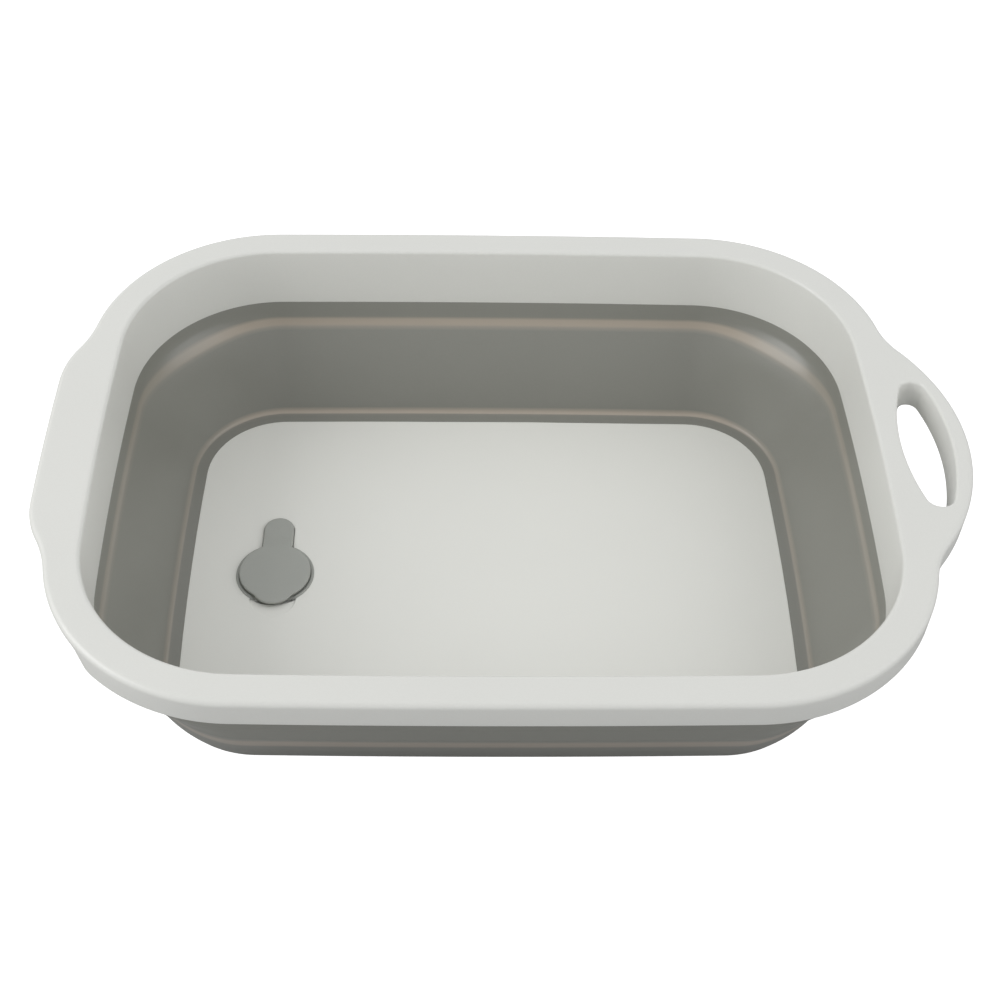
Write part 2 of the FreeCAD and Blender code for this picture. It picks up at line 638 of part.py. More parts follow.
def drain_plug():
    """Soft stopper: a disc with a hollow tapered boss, a finger lip in front and a neck behind."""
    boss_top = DRAIN_RADIUS - PLUG_BOSS_GAP
    boss_low = boss_top - PLUG_BOSS_TAPER
    boss_z = SEAT_TOP_Z - PLUG_BOSS_DEPTH
    disc = turned([
        (0.0, PLUG_TOP_Z),
        (PLUG_RADIUS, PLUG_TOP_Z, PLUG_EDGE_ROUND),
        (PLUG_RADIUS, SEAT_TOP_Z),
        (boss_top, SEAT_TOP_Z),
        (boss_low, boss_z),
        (boss_low - PLUG_BOSS_WALL, boss_z),
        (boss_top - PLUG_BOSS_WALL, SEAT_TOP_Z),
        (0.0, SEAT_TOP_Z),
    ], DRAIN_X, DRAIN_Y)
    under = PLUG_TOP_Z - LIP_THICKNESS
    lip = turned([
        (0.0, PLUG_TOP_Z),
        (LIP_RADIUS, PLUG_TOP_Z, PLUG_EDGE_ROUND),
        (LIP_RADIUS, under),
        (0.0, under),
    ], DRAIN_X, LIP_Y)
    half = STRAP_WIDTH / 2.0
    neck = block(
        DRAIN_X - half, DRAIN_X + half, DRAIN_Y, HINGE_Y - STRAP_HINGE_GAP / 2.0, under, PLUG_TOP_Z
    )
    return disc.multiFuse([lip, neck]).removeSplitter()


def plug_strap():
    """Soft strap that holds the plug: it lies in its pocket and is buttoned through the floor."""
    start = HINGE_Y + STRAP_HINGE_GAP / 2.0
    over_rim = strap_blank(0.0, start, PLUG_TOP_Z - LIP_THICKNESS, STRAP_TOP_Z)
    clear_of_ring = DRAIN_Y + SEAT_RADIUS + STRAP_HINGE_GAP
    in_pocket = strap_blank(0.0, clear_of_ring, FLOOR_Z - STRAP_SEAT, STRAP_TOP_Z)
    stem = cylinder(ANCHOR_RADIUS, PLATE_BOTTOM_Z - OVERLAP, FLOOR_Z, DRAIN_X, ANCHOR_Y)
    head = Part.makeCone(
        ANCHOR_RADIUS, ANCHOR_HEAD_RADIUS, ANCHOR_HEAD_HEIGHT,
        V(DRAIN_X, ANCHOR_Y, PLATE_BOTTOM_Z - ANCHOR_HEAD_HEIGHT),
    )
    return over_rim.multiFuse([in_pocket, stem, head]).removeSplitter()


# ---------------------------------------------------------------- export
def export(parts):
    """Moves each part so that the origin is at the whole tub's bottom centre, and writes its STEP."""
    os.makedirs("parts", exist_ok=True)
    for name, shape in parts.items():
        if not shape.isValid() or len(shape.Solids) != 1:
            raise ValueError(f"{name} is not one valid solid")
        solid = shape.Solids[0]
        solid.translate(V(BASIN_X, 0, 0))
        solid.exportStep(f"parts/{name}.step")


def main():
    parts = {
        "rim_frame": rim_frame(),
        "wall_upper_band": wall_upper_band(),
        "wall_fold_panel": wall_fold_panel(),
        "wall_lower_ring": wall_lower_ring(),
        "floor_plate": floor_plate(),
        "drain_seat_ring": drain_seat_ring(),
        "drain_plug": drain_plug(),
        "plug_strap": plug_strap(),
    }
    parts.update(feet())
    export(parts)
    print(f"height {TOTAL_HEIGHT:.2f}, fold travel {FOLD_TRAVEL:.2f}, basin at x {BASIN_X:.2f}")
    print(f"plug hinge at y {HINGE_Y:.2f}, z {PLUG_TOP_Z:.2f}; floor top at z {FLOOR_Z:.2f}")


main()
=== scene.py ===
"""The looks of a folding pet bathtub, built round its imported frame.

Every shape is in metres in the frame's own axes: +X runs from the grip tab to the grip loop and +Z is
up.  A point of a moulding is given by its offset from the basin's outline, positive away from the
basin's middle, and by its depth below the top of the rim, both in millimetres.
"""
import json
import math

import bmesh
import bpy
import numpy as np
from mathutils import Matrix, Vector


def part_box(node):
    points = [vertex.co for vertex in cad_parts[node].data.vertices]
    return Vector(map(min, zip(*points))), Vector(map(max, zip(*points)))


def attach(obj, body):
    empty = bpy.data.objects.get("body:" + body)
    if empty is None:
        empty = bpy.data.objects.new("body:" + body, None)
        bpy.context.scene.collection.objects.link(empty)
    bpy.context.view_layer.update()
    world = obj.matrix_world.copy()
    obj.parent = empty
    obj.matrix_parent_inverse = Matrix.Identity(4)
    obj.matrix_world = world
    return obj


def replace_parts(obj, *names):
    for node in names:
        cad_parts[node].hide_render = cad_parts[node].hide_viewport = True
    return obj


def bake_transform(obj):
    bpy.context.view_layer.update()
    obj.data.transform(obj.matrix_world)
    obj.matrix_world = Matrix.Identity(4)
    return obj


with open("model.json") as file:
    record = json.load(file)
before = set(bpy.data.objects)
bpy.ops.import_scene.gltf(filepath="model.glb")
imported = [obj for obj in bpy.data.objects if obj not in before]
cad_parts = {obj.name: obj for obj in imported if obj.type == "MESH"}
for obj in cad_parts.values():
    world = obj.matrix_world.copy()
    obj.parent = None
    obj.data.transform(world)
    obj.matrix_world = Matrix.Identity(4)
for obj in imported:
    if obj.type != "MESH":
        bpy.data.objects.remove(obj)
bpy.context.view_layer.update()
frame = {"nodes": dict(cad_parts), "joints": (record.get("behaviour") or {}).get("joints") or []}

# ---------------------------------------------------------------- places taken from the frame
MM = 0.001
joint_named = {joint["name"]: joint for joint in frame["joints"]}


def middle_of(node):
    """The middle of a node's box, in metres."""
    low, high = (np.array(corner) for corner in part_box(node))
    return (low + high) / 2.0


BASIN_X = middle_of("floor_plate")[0]
RIM_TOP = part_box("rim_frame")[1][2]
FLOOR_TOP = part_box("floor_plate")[1][2]
PLATE_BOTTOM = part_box("wall_lower_ring")[0][2]
FOLD_TRAVEL = joint_named["floor_fold"]["range_m"][1]
LOWER_FOLD_DEPTH = (RIM_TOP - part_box("wall_fold_panel")[0][2]) / MM - 4.0
UPPER_FOLD_DEPTH = LOWER_FOLD_DEPTH - FOLD_TRAVEL / 2.0 / MM
FLOOR_DEPTH = (RIM_TOP - FLOOR_TOP) / MM
BOTTOM_DEPTH = (RIM_TOP - PLATE_BOTTOM) / MM
DRAIN_X, DRAIN_Y, _ = middle_of("drain_seat_ring")
SEAT_RADIUS = (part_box("drain_seat_ring")[1][0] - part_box("drain_seat_ring")[0][0]) / 2.0 / MM
HINGE = Vector(joint_named["plug_lift"]["pos_m"])

# ---------------------------------------------------------------- sizes in millimetres
HALF_LENGTH, HALF_WIDTH = 214.7, 162.0
CORNER_RADIUS = 86.0
END_BOW, SIDE_BOW = 2200.0, 8000.0

FLANGE_WIDTH, FLANGE_THICKNESS = 19.1, 2.6
OUTER_ROUND, OPENING_ROUND = 3.2, 2.2
SKIRT_DEPTH, SKIRT_WALL, SKIRT_DRAFT = 17.0, 2.4, 0.4
TAB_SKIRT_SHARE, TAB_SKIRT_ENDS = 0.18, (39.0, 45.0)
COLLAR_DEPTH, COLLAR_WALL, COLLAR_LEAN = 39.0, 2.6, 1.6
TONGUE_LENGTH, TONGUE_STEP = 5.5, 1.0
RIB_THICKNESS, RIB_DEPTH, RIB_OFFSET = 1.8, 11.0, 14.0

LOOP_REACH, LOOP_RADIUS, LOOP_FILLET = 50.6, 125.0, 49.0
HOLE_HALF_WIDTH, HOLE_HALF_LENGTH, HOLE_END_RADIUS = 14.2, 48.5, 8.0
HOLE_OUTER_STRIP, HOLE_WALL, HOLE_ROUND, HOLE_DRAFT = 10.0, 2.4, 2.0, 2.2
TAB_REACH, TAB_FLAT_HALF_WIDTH, TAB_CORNER_RADIUS, TAB_FILLET = 30.8, 47.0, 57.0, 70.0

SLEEVE_DEPTH, SLEEVE_WALL = 33.0, 1.2
PANEL_WALL = 3.6
UPPER_FOLD_OFFSET, LOWER_FOLD_OFFSET, FLOOR_OFFSET = -2.6, -30.5, -38.0
FOLD_CORNER_INSET = 6.5


# ---------------------------------------------------------------- outlines made of arcs
def circle_crossing(centre_a, radius_a, centre_b, radius_b):
    """The upper one of the two crossings of two circles."""
    a, b = np.array(centre_a), np.array(centre_b)
    span = np.linalg.norm(b - a)
    across = (b - a) / span
    along = (radius_a**2 - radius_b**2 + span**2) / (2.0 * span)
    aside = math.sqrt(radius_a**2 - along**2)
    turned = np.array([-across[1], across[0]])
    return max((a + across * along + side * aside * turned for side in (-1.0, 1.0)), key=lambda p: p[1])


def angle_to(centre, point):
    """The direction from centre to point, in radians."""
    return math.atan2(point[1] - centre[1], point[0] - centre[0])


END_CENTRE = (HALF_LENGTH - END_BOW, 0.0)
SIDE_CENTRE = (0.0, HALF_WIDTH - SIDE_BOW)
CORNER = circle_crossing(END_CENTRE, END_BOW - CORNER_RADIUS, SIDE_CENTRE, SIDE_BOW - CORNER_RADIUS)
END_TURN = angle_to(END_CENTRE, CORNER)
SIDE_TURN = angle_to(SIDE_CENTRE, CORNER)


def closed_chain(right, upper, left):
    """A chain that mirrors its upper arcs (centre x, centre y, radius, start, end) below the X axis."""
    lower = [(cx, -cy, radius, -end, -start) for cx, cy, radius, start, end in reversed(upper)]
    return [right] + upper + [left] + lower


def basin_chain():
    """The basin's outline: two bowed ends, two bowed sides and four corners, counterclockwise."""
    cx, cy = CORNER
    upper = [
        (cx, cy, CORNER_RADIUS, END_TURN, SIDE_TURN),
        (0.0, SIDE_CENTRE[1], SIDE_BOW, SIDE_TURN, math.pi - SIDE_TURN),
        (-cx, cy, CORNER_RADIUS, math.pi - SIDE_TURN, math.pi - END_TURN),
    ]
    right = (END_CENTRE[0], 0.0, END_BOW, -END_TURN, END_TURN)
    left = (-END_CENTRE[0], 0.0, END_BOW, math.pi - END_TURN, math.pi + END_TURN)
    return closed_chain(right, upper, left)


def grip_chain():
    """The flange's outline, with the grip loop at +X and the grip tab at -X; hollow arcs run backwards."""
    corner_radius = CORNER_RADIUS + FLANGE_WIDTH
    right_corner, left_corner = tuple(CORNER), (-CORNER[0], CORNER[1])
    loop = (HALF_LENGTH + LOOP_REACH - LOOP_RADIUS, 0.0)
    loop_fillet = circle_crossing(
        loop, LOOP_RADIUS + LOOP_FILLET, right_corner, corner_radius + LOOP_FILLET
    )
    loop_turn = angle_to(loop, loop_fillet)
    tab_arc = END_BOW + TAB_REACH
    tab_turn = math.asin(TAB_FLAT_HALF_WIDTH / tab_arc)
    tab_corner = (
        -END_CENTRE[0] - (tab_arc - TAB_CORNER_RADIUS) * math.cos(tab_turn),
        (tab_arc - TAB_CORNER_RADIUS) * math.sin(tab_turn),
    )
    tab_fillet = circle_crossing(
        tab_corner, TAB_CORNER_RADIUS + TAB_FILLET, left_corner, corner_radius + TAB_FILLET
    )
    full = 2.0 * math.pi
    upper = [
        (*loop_fillet, LOOP_FILLET,
         angle_to(loop_fillet, loop) + full, angle_to(loop_fillet, right_corner) + full),
        (*right_corner, corner_radius, angle_to(right_corner, loop_fillet), SIDE_TURN),
        (0.0, SIDE_CENTRE[1], SIDE_BOW + FLANGE_WIDTH, SIDE_TURN, math.pi - SIDE_TURN),
        (*left_corner, corner_radius, math.pi - SIDE_TURN, angle_to(left_corner, tab_fillet)),
        (*tab_fillet, TAB_FILLET, angle_to(tab_fillet, left_corner), angle_to(tab_fillet, tab_corner)),
        (*tab_corner, TAB_CORNER_RADIUS, angle_to(tab_corner, tab_fillet), math.pi - tab_turn),
    ]
    right = (*loop, LOOP_RADIUS, -loop_turn, loop_turn)
    left = (-END_CENTRE[0], 0.0, tab_arc, math.pi - tab_turn, math.pi + tab_turn)
    return closed_chain(right, upper, left)


HOLE_X = HALF_LENGTH + LOOP_REACH - HOLE_OUTER_STRIP - HOLE_HALF_WIDTH


def hole_chain():
    """The hand hole's outline: two long flat arcs joined by two end arcs."""
    end_y = HOLE_HALF_LENGTH - HOLE_END_RADIUS
    long_radius = (HOLE_HALF_WIDTH**2 + end_y**2 - HOLE_END_RADIUS**2) / (
        2.0 * (HOLE_HALF_WIDTH - HOLE_END_RADIUS)
    )
    shift = long_radius - HOLE_HALF_WIDTH
    turn = math.atan2(end_y, shift)
    return [
        (HOLE_X - shift, 0.0, long_radius, -turn, turn),
        (HOLE_X, end_y, HOLE_END_RADIUS, turn, math.pi - turn),
        (HOLE_X + shift, 0.0, long_radius, math.pi - turn, math.pi + turn),
        (HOLE_X, -end_y, HOLE_END_RADIUS, math.pi + turn, 2.0 * math.pi - turn),
    ]


def arc_stations(arcs, steps):
    """Points and outward normals round a chain of arcs, with steps[k] stations on arc k.

    The angle a runs evenly along each arc; a point is centre + radius * (cos a, sin a), and its normal
    is (cos a, sin a), turned about on a hollow arc."""
    points, normals = [], []
    for (cx, cy, radius, start, end), count in zip(arcs, steps):
        angle = start + (end - start) * np.arange(count) / count
        ray = np.stack([np.cos(angle), np.sin(angle)], axis=1)
        points.append(np.array([cx, cy]) + radius * ray)
        normals.append(ray if end > start else -ray)
    return np.vstack(points), np.vstack(normals)


def cast_to_outline(points, rays, arcs):
    """Where rays from inside a chain of arcs first reach it, and the chain's outward normals there.

    With p the start measured from a circle's centre, the distance t solves |p + t ray| = radius, so
    t = -b +/- sqrt(b * b - |p|^2 + radius^2) with b = p . ray; a root counts on its own arc only."""
    reach = np.full(len(points), np.inf)
    normals = np.zeros((len(points), 2))
    slack = 1e-6
    for cx, cy, radius, start, end in arcs:
        from_centre = points - (cx, cy)
        b = (from_centre * rays).sum(axis=1)
        inside = b * b - (from_centre**2).sum(axis=1) + radius**2
        root = np.sqrt(np.maximum(inside, 0.0))
        for t in (-b - root, -b + root):
            hit = from_centre + t[:, None] * rays
            turn = (np.arctan2(hit[:, 1], hit[:, 0]) - min(start, end) + slack) % (2.0 * math.pi)
            counts = (inside >= 0.0) & (t > slack) & (t < reach) & (turn <= abs(end - start) + 2.0 * slack)
            reach[counts] = t[counts]
            normals[counts] = (hit[counts] / radius) * (1.0 if end > start else -1.0)
    return points + reach[:, None] * rays, normals


# ---------------------------------------------------------------- profiles
def smooth_step(value, low, high):
    """0 below low, 1 above high and a smooth rise between them."""
    share = np.clip((value - low) / (high - low), 0.0, 1.0)
    return share * share * (3.0 - 2.0 * share)


def rounded_path(corners, steps=5):
    """An open polyline through corners (x, y, round): each round is an arc tangent to both its sides."""
    places = np.array([corner[:2] for corner in corners], float)
    path = [places[:1]]
    for before, here, after, corner in zip(places, places[1:], places[2:], corners[1:]):
        if corner[2] == 0.0:
            path.append(here[None])
            continue
        back = (before - here) / np.linalg.norm(before - here)
        ahead = (after - here) / np.linalg.norm(after - here)
        half = math.acos(np.clip(back @ ahead, -1.0, 1.0)) / 2.0
        middle = (back + ahead) / np.linalg.norm(back + ahead)
        centre = here + middle * corner[2] / math.sin(half)
        sweep = np.linspace(-1.0, 1.0, steps + 1) * (math.pi / 2.0 - half)
        side = np.array([-middle[1], middle[0]]) * math.copysign(1.0, middle[0] * back[1] - middle[1] * back[0])
        path.append(centre - corner[2] * (np.cos(sweep)[:, None] * middle + np.sin(sweep)[:, None] * side))
    path.append(places[-1:])
    path = np.vstack(path)
    return path


def subdivided(path, longest):
    """The same polyline with extra points, so that no piece of it is longer than longest."""
    pieces = []
    for start, end in zip(path, path[1:]):
        count = max(1, math.ceil(np.linalg.norm(end - start) / longest))
        share = np.arange(count)[:, None] / count
        pieces.append(start + share * (end - start))
    return np.vstack(pieces + [path[-1:]])


def placed(xy, depth):
    """Points in metres in the frame, from plan positions about the basin's middle and depths, in mm."""
    flat = np.concatenate([xy, np.broadcast_to(-np.asarray(depth, float)[..., None], xy.shape[:-1] + (1,))], -1)
    return flat * MM + np.array([BASIN_X, 0.0, RIM_TOP])


# ---------------------------------------------------------------- meshes
def make_piece(name, points, faces, material):
    """A smooth-shaded object from points and equal-sided faces, turned so that its faces look outwards.

    The sign of the enclosed volume, one sixth of the sum of a . (b x c) over its triangles, tells
    whether the faces look inwards."""
    points, faces = np.asarray(points, float), np.asarray(faces, int)
    a, b, c = points[faces[:, 0]], points[faces[:, 1]], points[faces[:, 2]]
    d = points[faces[:, -1]]
    volume = np.einsum("ij,ij->i", a, np.cross(b, c)).sum() + np.einsum("ij,ij->i", a, np.cross(c, d)).sum()
    if volume < 0.0:
        faces = faces[:, ::-1]
    mesh = bpy.data.meshes.new(name)
    mesh.vertices.add(len(points))
    mesh.vertices.foreach_set("co", points.ravel())
    mesh.loops.add(faces.size)
    mesh.loops.foreach_set("vertex_index", faces.ravel().astype(np.int32))
    mesh.polygons.add(len(faces))
    mesh.polygons.foreach_set("loop_start", (np.arange(len(faces)) * faces.shape[1]).astype(np.int32))
    mesh.update(calc_edges=True)
    mesh.polygons.foreach_set("use_smooth", np.ones(len(faces), bool))
    mesh.validate()
    piece = bpy.data.objects.new(name, mesh)
    bpy.context.scene.collection.objects.link(piece)
    mesh.materials.append(material)
    return piece


def grid_faces(rows, columns, close_rows=False, start=0):
    """Quads of a grid whose columns always close on themselves; its rows close too if asked."""
    row = np.arange(rows if close_rows else rows - 1)[:, None]
    column = np.arange(columns)[None, :]
    below, beside = (row + 1) % rows, (column + 1) % columns
    corners = [row * columns + column, below * columns + column,
               below * columns + beside, row * columns + beside]
    return np.stack([corner + start for corner in corners], axis=-1).reshape(-1, 4)


# ---------------------------------------------------------------- the rim
def collar_inner(depth):
    """The collar's inner face leans inwards on its way down."""
    return -COLLAR_LEAN * depth / COLLAR_DEPTH


def rim_columns():
    """The rim's section as columns (share, basin offset, grip offset, depth), and where its flats lie.

    A column's point is (1 - share) of a point set off the basin's outline and share of one set off the
    flange's outline, so that the flange's top and underside span from one outline to the other."""
    tongue_depth = COLLAR_DEPTH + TONGUE_LENGTH
    inner = rounded_path([
        (collar_inner(tongue_depth) + TONGUE_STEP, tongue_depth, 0.0),
        (collar_inner(COLLAR_DEPTH) + TONGUE_STEP, COLLAR_DEPTH, 0.0),
        (collar_inner(COLLAR_DEPTH), COLLAR_DEPTH, 0.25),
        (0.0, 0.0, OPENING_ROUND),
        (2.0 * OPENING_ROUND, 0.0, 0.0),
    ], steps=8)[:-1]
    outer = rounded_path([
        (-2.0 * OUTER_ROUND, 0.0, 0.0),
        (0.0, 0.0, OUTER_ROUND),
        (-SKIRT_DRAFT, SKIRT_DEPTH, 0.7),
        (-SKIRT_DRAFT - SKIRT_WALL, SKIRT_DEPTH, 0.7),
        (-SKIRT_WALL, FLANGE_THICKNESS, 0.8),
        (-2.0 * SKIRT_WALL, FLANGE_THICKNESS, 0.0),
    ], steps=8)[1:-1]
    under = rounded_path([
        (COLLAR_WALL + 2.0, FLANGE_THICKNESS, 0.0),
        (COLLAR_WALL, FLANGE_THICKNESS, 0.8),
        (collar_inner(tongue_depth) + COLLAR_WALL, tongue_depth, 0.0),
    ], steps=4)[1:]
    spread = np.linspace(0.0, 1.0, 15)[1:-1]

    def columns(path, share):
        """Columns of a path that follows one outline only."""
        zero = np.zeros(len(path))
        basin, grip = (path[:, 0], zero) if share == 0.0 else (zero, path[:, 0])
        return np.stack([zero + share, basin, grip, path[:, 1]], axis=1)

    def flat(basin_offset, grip_offset, depth, shares):
        """Columns across the flange, between one outline and the other."""
        one = np.ones(len(shares))
        return np.stack([shares, one * basin_offset, one * grip_offset, one * depth], axis=1)

    inner, outer, under = subdivided(inner, 8.0), subdivided(outer, 6.0), subdivided(under, 8.0)
    top = flat(inner[-1, 0], outer[0, 0], 0.0, spread)
    below = flat(under[0, 0], outer[-1, 0], FLANGE_THICKNESS, spread[::-1])
    parts = [columns(inner, 0.0), top, columns(outer, 1.0), below, columns(under, 0.0)]
    ends = np.cumsum([len(part) for part in parts])
    top_flat = np.arange(ends[0] - 1, ends[1] + 1)
    under_flat = np.arange(ends[2] - 1, ends[3] + 1)
    return np.vstack(parts), top_flat, under_flat


END_STEPS, CORNER_STEPS, SIDE_STEPS = 96, 48, 44
BASIN_STEPS = [END_STEPS, CORNER_STEPS, SIDE_STEPS, CORNER_STEPS] * 2


def patch_rim(columns, stations):
    """Indices round a rectangular patch of a columns-by-stations grid, counterclockwise from above."""
    first, last = columns[0], columns[-1]
    return np.array(
        [(first, s) for s in stations[:-1]] + [(c, stations[-1]) for c in columns[:-1]]
        + [(last, s) for s in stations[:0:-1]] + [(c, stations[0]) for c in columns[:0:-1]]
    )


def hole_stations(edge):
    """Points and outward normals evenly round the hand hole, one for each point of the ring edge round it.

    With n points in the ring, station k lies at (k + shift) / n of the way round the hole's outline, and
    the shift is the one that brings the stations nearest to the bearings of the ring's own points."""
    arcs = hole_chain()
    lengths = [radius * abs(end - start) for _, _, radius, start, end in arcs]
    dense, dense_normal = arc_stations(arcs, [max(8, round(6.0 * length)) for length in lengths])
    along = np.concatenate([[0.0], np.cumsum(np.linalg.norm(np.diff(dense, axis=0, append=dense[:1]), axis=1))])
    bearing = np.arctan2(edge[:, 1] / HOLE_HALF_LENGTH, (edge[:, 0] - HOLE_X) / HOLE_HALF_WIDTH)
    dense_bearing = np.arctan2(dense[:, 1] / HOLE_HALF_LENGTH, (dense[:, 0] - HOLE_X) / HOLE_HALF_WIDTH)
    nearest = np.abs(np.angle(np.exp(1j * (bearing[:, None] - dense_bearing)))).argmin(axis=1)
    share = along[nearest] / along[-1]
    even = np.arange(len(edge)) / len(edge)
    ahead = np.roll(edge, -1, axis=0)
    direction = -1.0 if np.sum(edge[:, 0] * ahead[:, 1] - edge[:, 1] * ahead[:, 0]) < 0 else 1.0
    shift = np.angle(np.exp(2j * math.pi * (share - direction * even)).mean()) / (2.0 * math.pi)
    wanted = ((direction * even + shift) % 1.0) * along[-1]

    def pick(values):
        """The values at the wanted lengths round the outline."""
        closed = np.vstack([values, values[:1]])
        return np.stack([np.interp(wanted, along, closed[:, k]) for k in range(2)], axis=1)

    normal = pick(dense_normal)
    return pick(dense), normal / np.linalg.norm(normal, axis=1)[:, None]


def rim_shell(material):
    """The rim: its section carried round the basin, opened at the loop by a walled hand hole.

    A station lies on the basin's outline; the ray along its normal meets the flange's outline, and the
    section's columns lie between the two.  Round the tab, up to a bearing of TAB_SKIRT_ENDS degrees from
    its middle, the skirt hangs down by only a share of its depth, which leaves the tab free to grip.
    Where the hand hole is, the flats of the flange are taken out, and rings of the hole's own section
    join the edge of the upper opening to that of the lower."""
    near, near_normal = arc_stations(basin_chain(), BASIN_STEPS)
    far, far_normal = cast_to_outline(near, near_normal, grip_chain())
    columns, top_flat, under_flat = rim_columns()
    share, basin, grip, depth = (columns[:, k, None, None] for k in range(4))
    plan = (1.0 - share) * (near + basin * near_normal) + share * (far + grip * far_normal)
    bearing = np.degrees(np.arctan2(np.abs(near_normal[:, 1]), -near_normal[:, 0]))
    full = TAB_SKIRT_SHARE + (1.0 - TAB_SKIRT_SHARE) * smooth_step(bearing, *TAB_SKIRT_ENDS)
    hanging = (share[..., 0] == 1.0) * np.maximum(depth[..., 0] - OUTER_ROUND, 0.0)
    depths = depth[..., 0] - hanging * (1.0 - full[None, :])
    rows, count = plan.shape[:2]
    faces = grid_faces(rows, count, close_rows=True)

    by_hole = HOLE_HALF_LENGTH + 6.0
    stations = np.array([s % count for s in range(-count // 4, count // 4)
                         if abs(near[s, 1]) < by_hole and near[s, 0] > 0.0])
    opened = set()
    for flat in (top_flat, under_flat):
        opened.update((r * count + s) for r in flat[:-1] for s in stations[:-1])
    keep = np.array([k not in opened for k in range(len(faces))])
    upper_rim = patch_rim(top_flat, stations)
    lower_rim = patch_rim(under_flat[::-1], stations)

    edge = plan[upper_rim[:, 0], upper_rim[:, 1]]
    hole, hole_normal = hole_stations(edge)
    section = subdivided(rounded_path([
        (2.0 * HOLE_ROUND, 0.0, 0.0),
        (0.0, 0.0, HOLE_ROUND),
        (-HOLE_DRAFT, SKIRT_DEPTH, 0.7),
        (HOLE_WALL - HOLE_DRAFT, SKIRT_DEPTH, 0.7),
        (HOLE_WALL, FLANGE_THICKNESS, 0.0),
    ], steps=8)[1:], 5.0)
    rings = hole[None] + section[:, 0, None, None] * hole_normal[None]
    ring_depths = np.broadcast_to(section[:, 1, None], rings.shape[:2])
    lead = np.array([0.25, 0.6, 0.88, 0.97])[:, None, None]
    lead_in = edge + lead * (rings[0] - edge)
    lead_depths = np.zeros(lead_in.shape[:2])
    hole_plan = np.concatenate([lead_in, rings])
    hole_depths = np.concatenate([lead_depths, ring_depths])

    start = rows * count
    ring_ids = start + np.arange(hole_plan.shape[0] * hole_plan.shape[1]).reshape(hole_plan.shape[:2])
    upper_ids = upper_rim[:, 0] * count + upper_rim[:, 1]
    lower_ids = lower_rim[:, 0] * count + lower_rim[:, 1]
    ladder = np.vstack([upper_ids[None], ring_ids, lower_ids[None]])
    beside = np.roll(ladder, -1, axis=1)
    hole_faces = np.stack([ladder[:-1], ladder[1:], beside[1:], beside[:-1]], axis=-1).reshape(-1, 4)
    points = np.vstack([
        placed(plan, depths).reshape(-1, 3),
        placed(hole_plan, hole_depths).reshape(-1, 3),
    ])
    shell = make_piece("rim_shell", points, np.vstack([faces[keep], hole_faces]), material)
    return shell


def rim_ribs(material):
    """Stiffening ribs under the flange: each is a thin plate from the collar to the skirt.

    A plate stands on the line from a point of the basin's outline to the flange's outline straight
    across from it; its lower edge is half a draft narrower than its upper edge.  Under the tab a plate
    ends short of the low skirt's edge."""
    side_x = CORNER[0] * np.array([-1.0, -1.0 / 3.0, 1.0 / 3.0, 1.0])
    grip_y = TAB_FLAT_HALF_WIDTH + RIB_OFFSET
    lines = [((x, 0.0), (0.0, turn)) for x in side_x for turn in (-1.0, 1.0)]
    lines += [((0.0, y), (turn, 0.0)) for y in (-grip_y, grip_y) for turn in (-1.0, 1.0)]
    starts, rays = (np.array(part) for part in zip(*lines))
    inner, _ = cast_to_outline(starts, rays, basin_chain())
    outer, _ = cast_to_outline(starts, rays, grip_chain())
    inner, outer = inner + COLLAR_WALL / 2.0 * rays, outer - SKIRT_WALL / 2.0 * rays
    across = np.stack([-rays[:, 1], rays[:, 0]], axis=1)
    corners, depths = [], []
    for half, level in ((RIB_THICKNESS / 2.0, FLANGE_THICKNESS - 0.5), (0.35 * RIB_THICKNESS, RIB_DEPTH)):
        corners += [inner - half * across, outer - half * across, outer + half * across, inner + half * across]
        depths += [level] * 4
    corners = np.stack(corners, axis=1)
    depths = np.tile(depths, (len(lines), 1)).astype(float)
    under_tab = rays[:, 0] < 0.0
    depths[under_tab, 4:] = OUTER_ROUND + 0.7 * TAB_SKIRT_SHARE * (SKIRT_DEPTH - OUTER_ROUND)
    points = placed(corners, depths).reshape(-1, 3)
    box_faces = np.array([(0, 1, 2, 3), (7, 6, 5, 4), (0, 4, 5, 1), (1, 5, 6, 2), (2, 6, 7, 3), (3, 7, 4, 0)])
    faces = (8 * np.arange(len(lines))[:, None, None] + box_faces).reshape(-1, 4)
    ribs = make_piece("rim_ribs", points, faces, material)
    ribs.data.polygons.foreach_set("use_smooth", np.zeros(len(faces), bool))
    return ribs


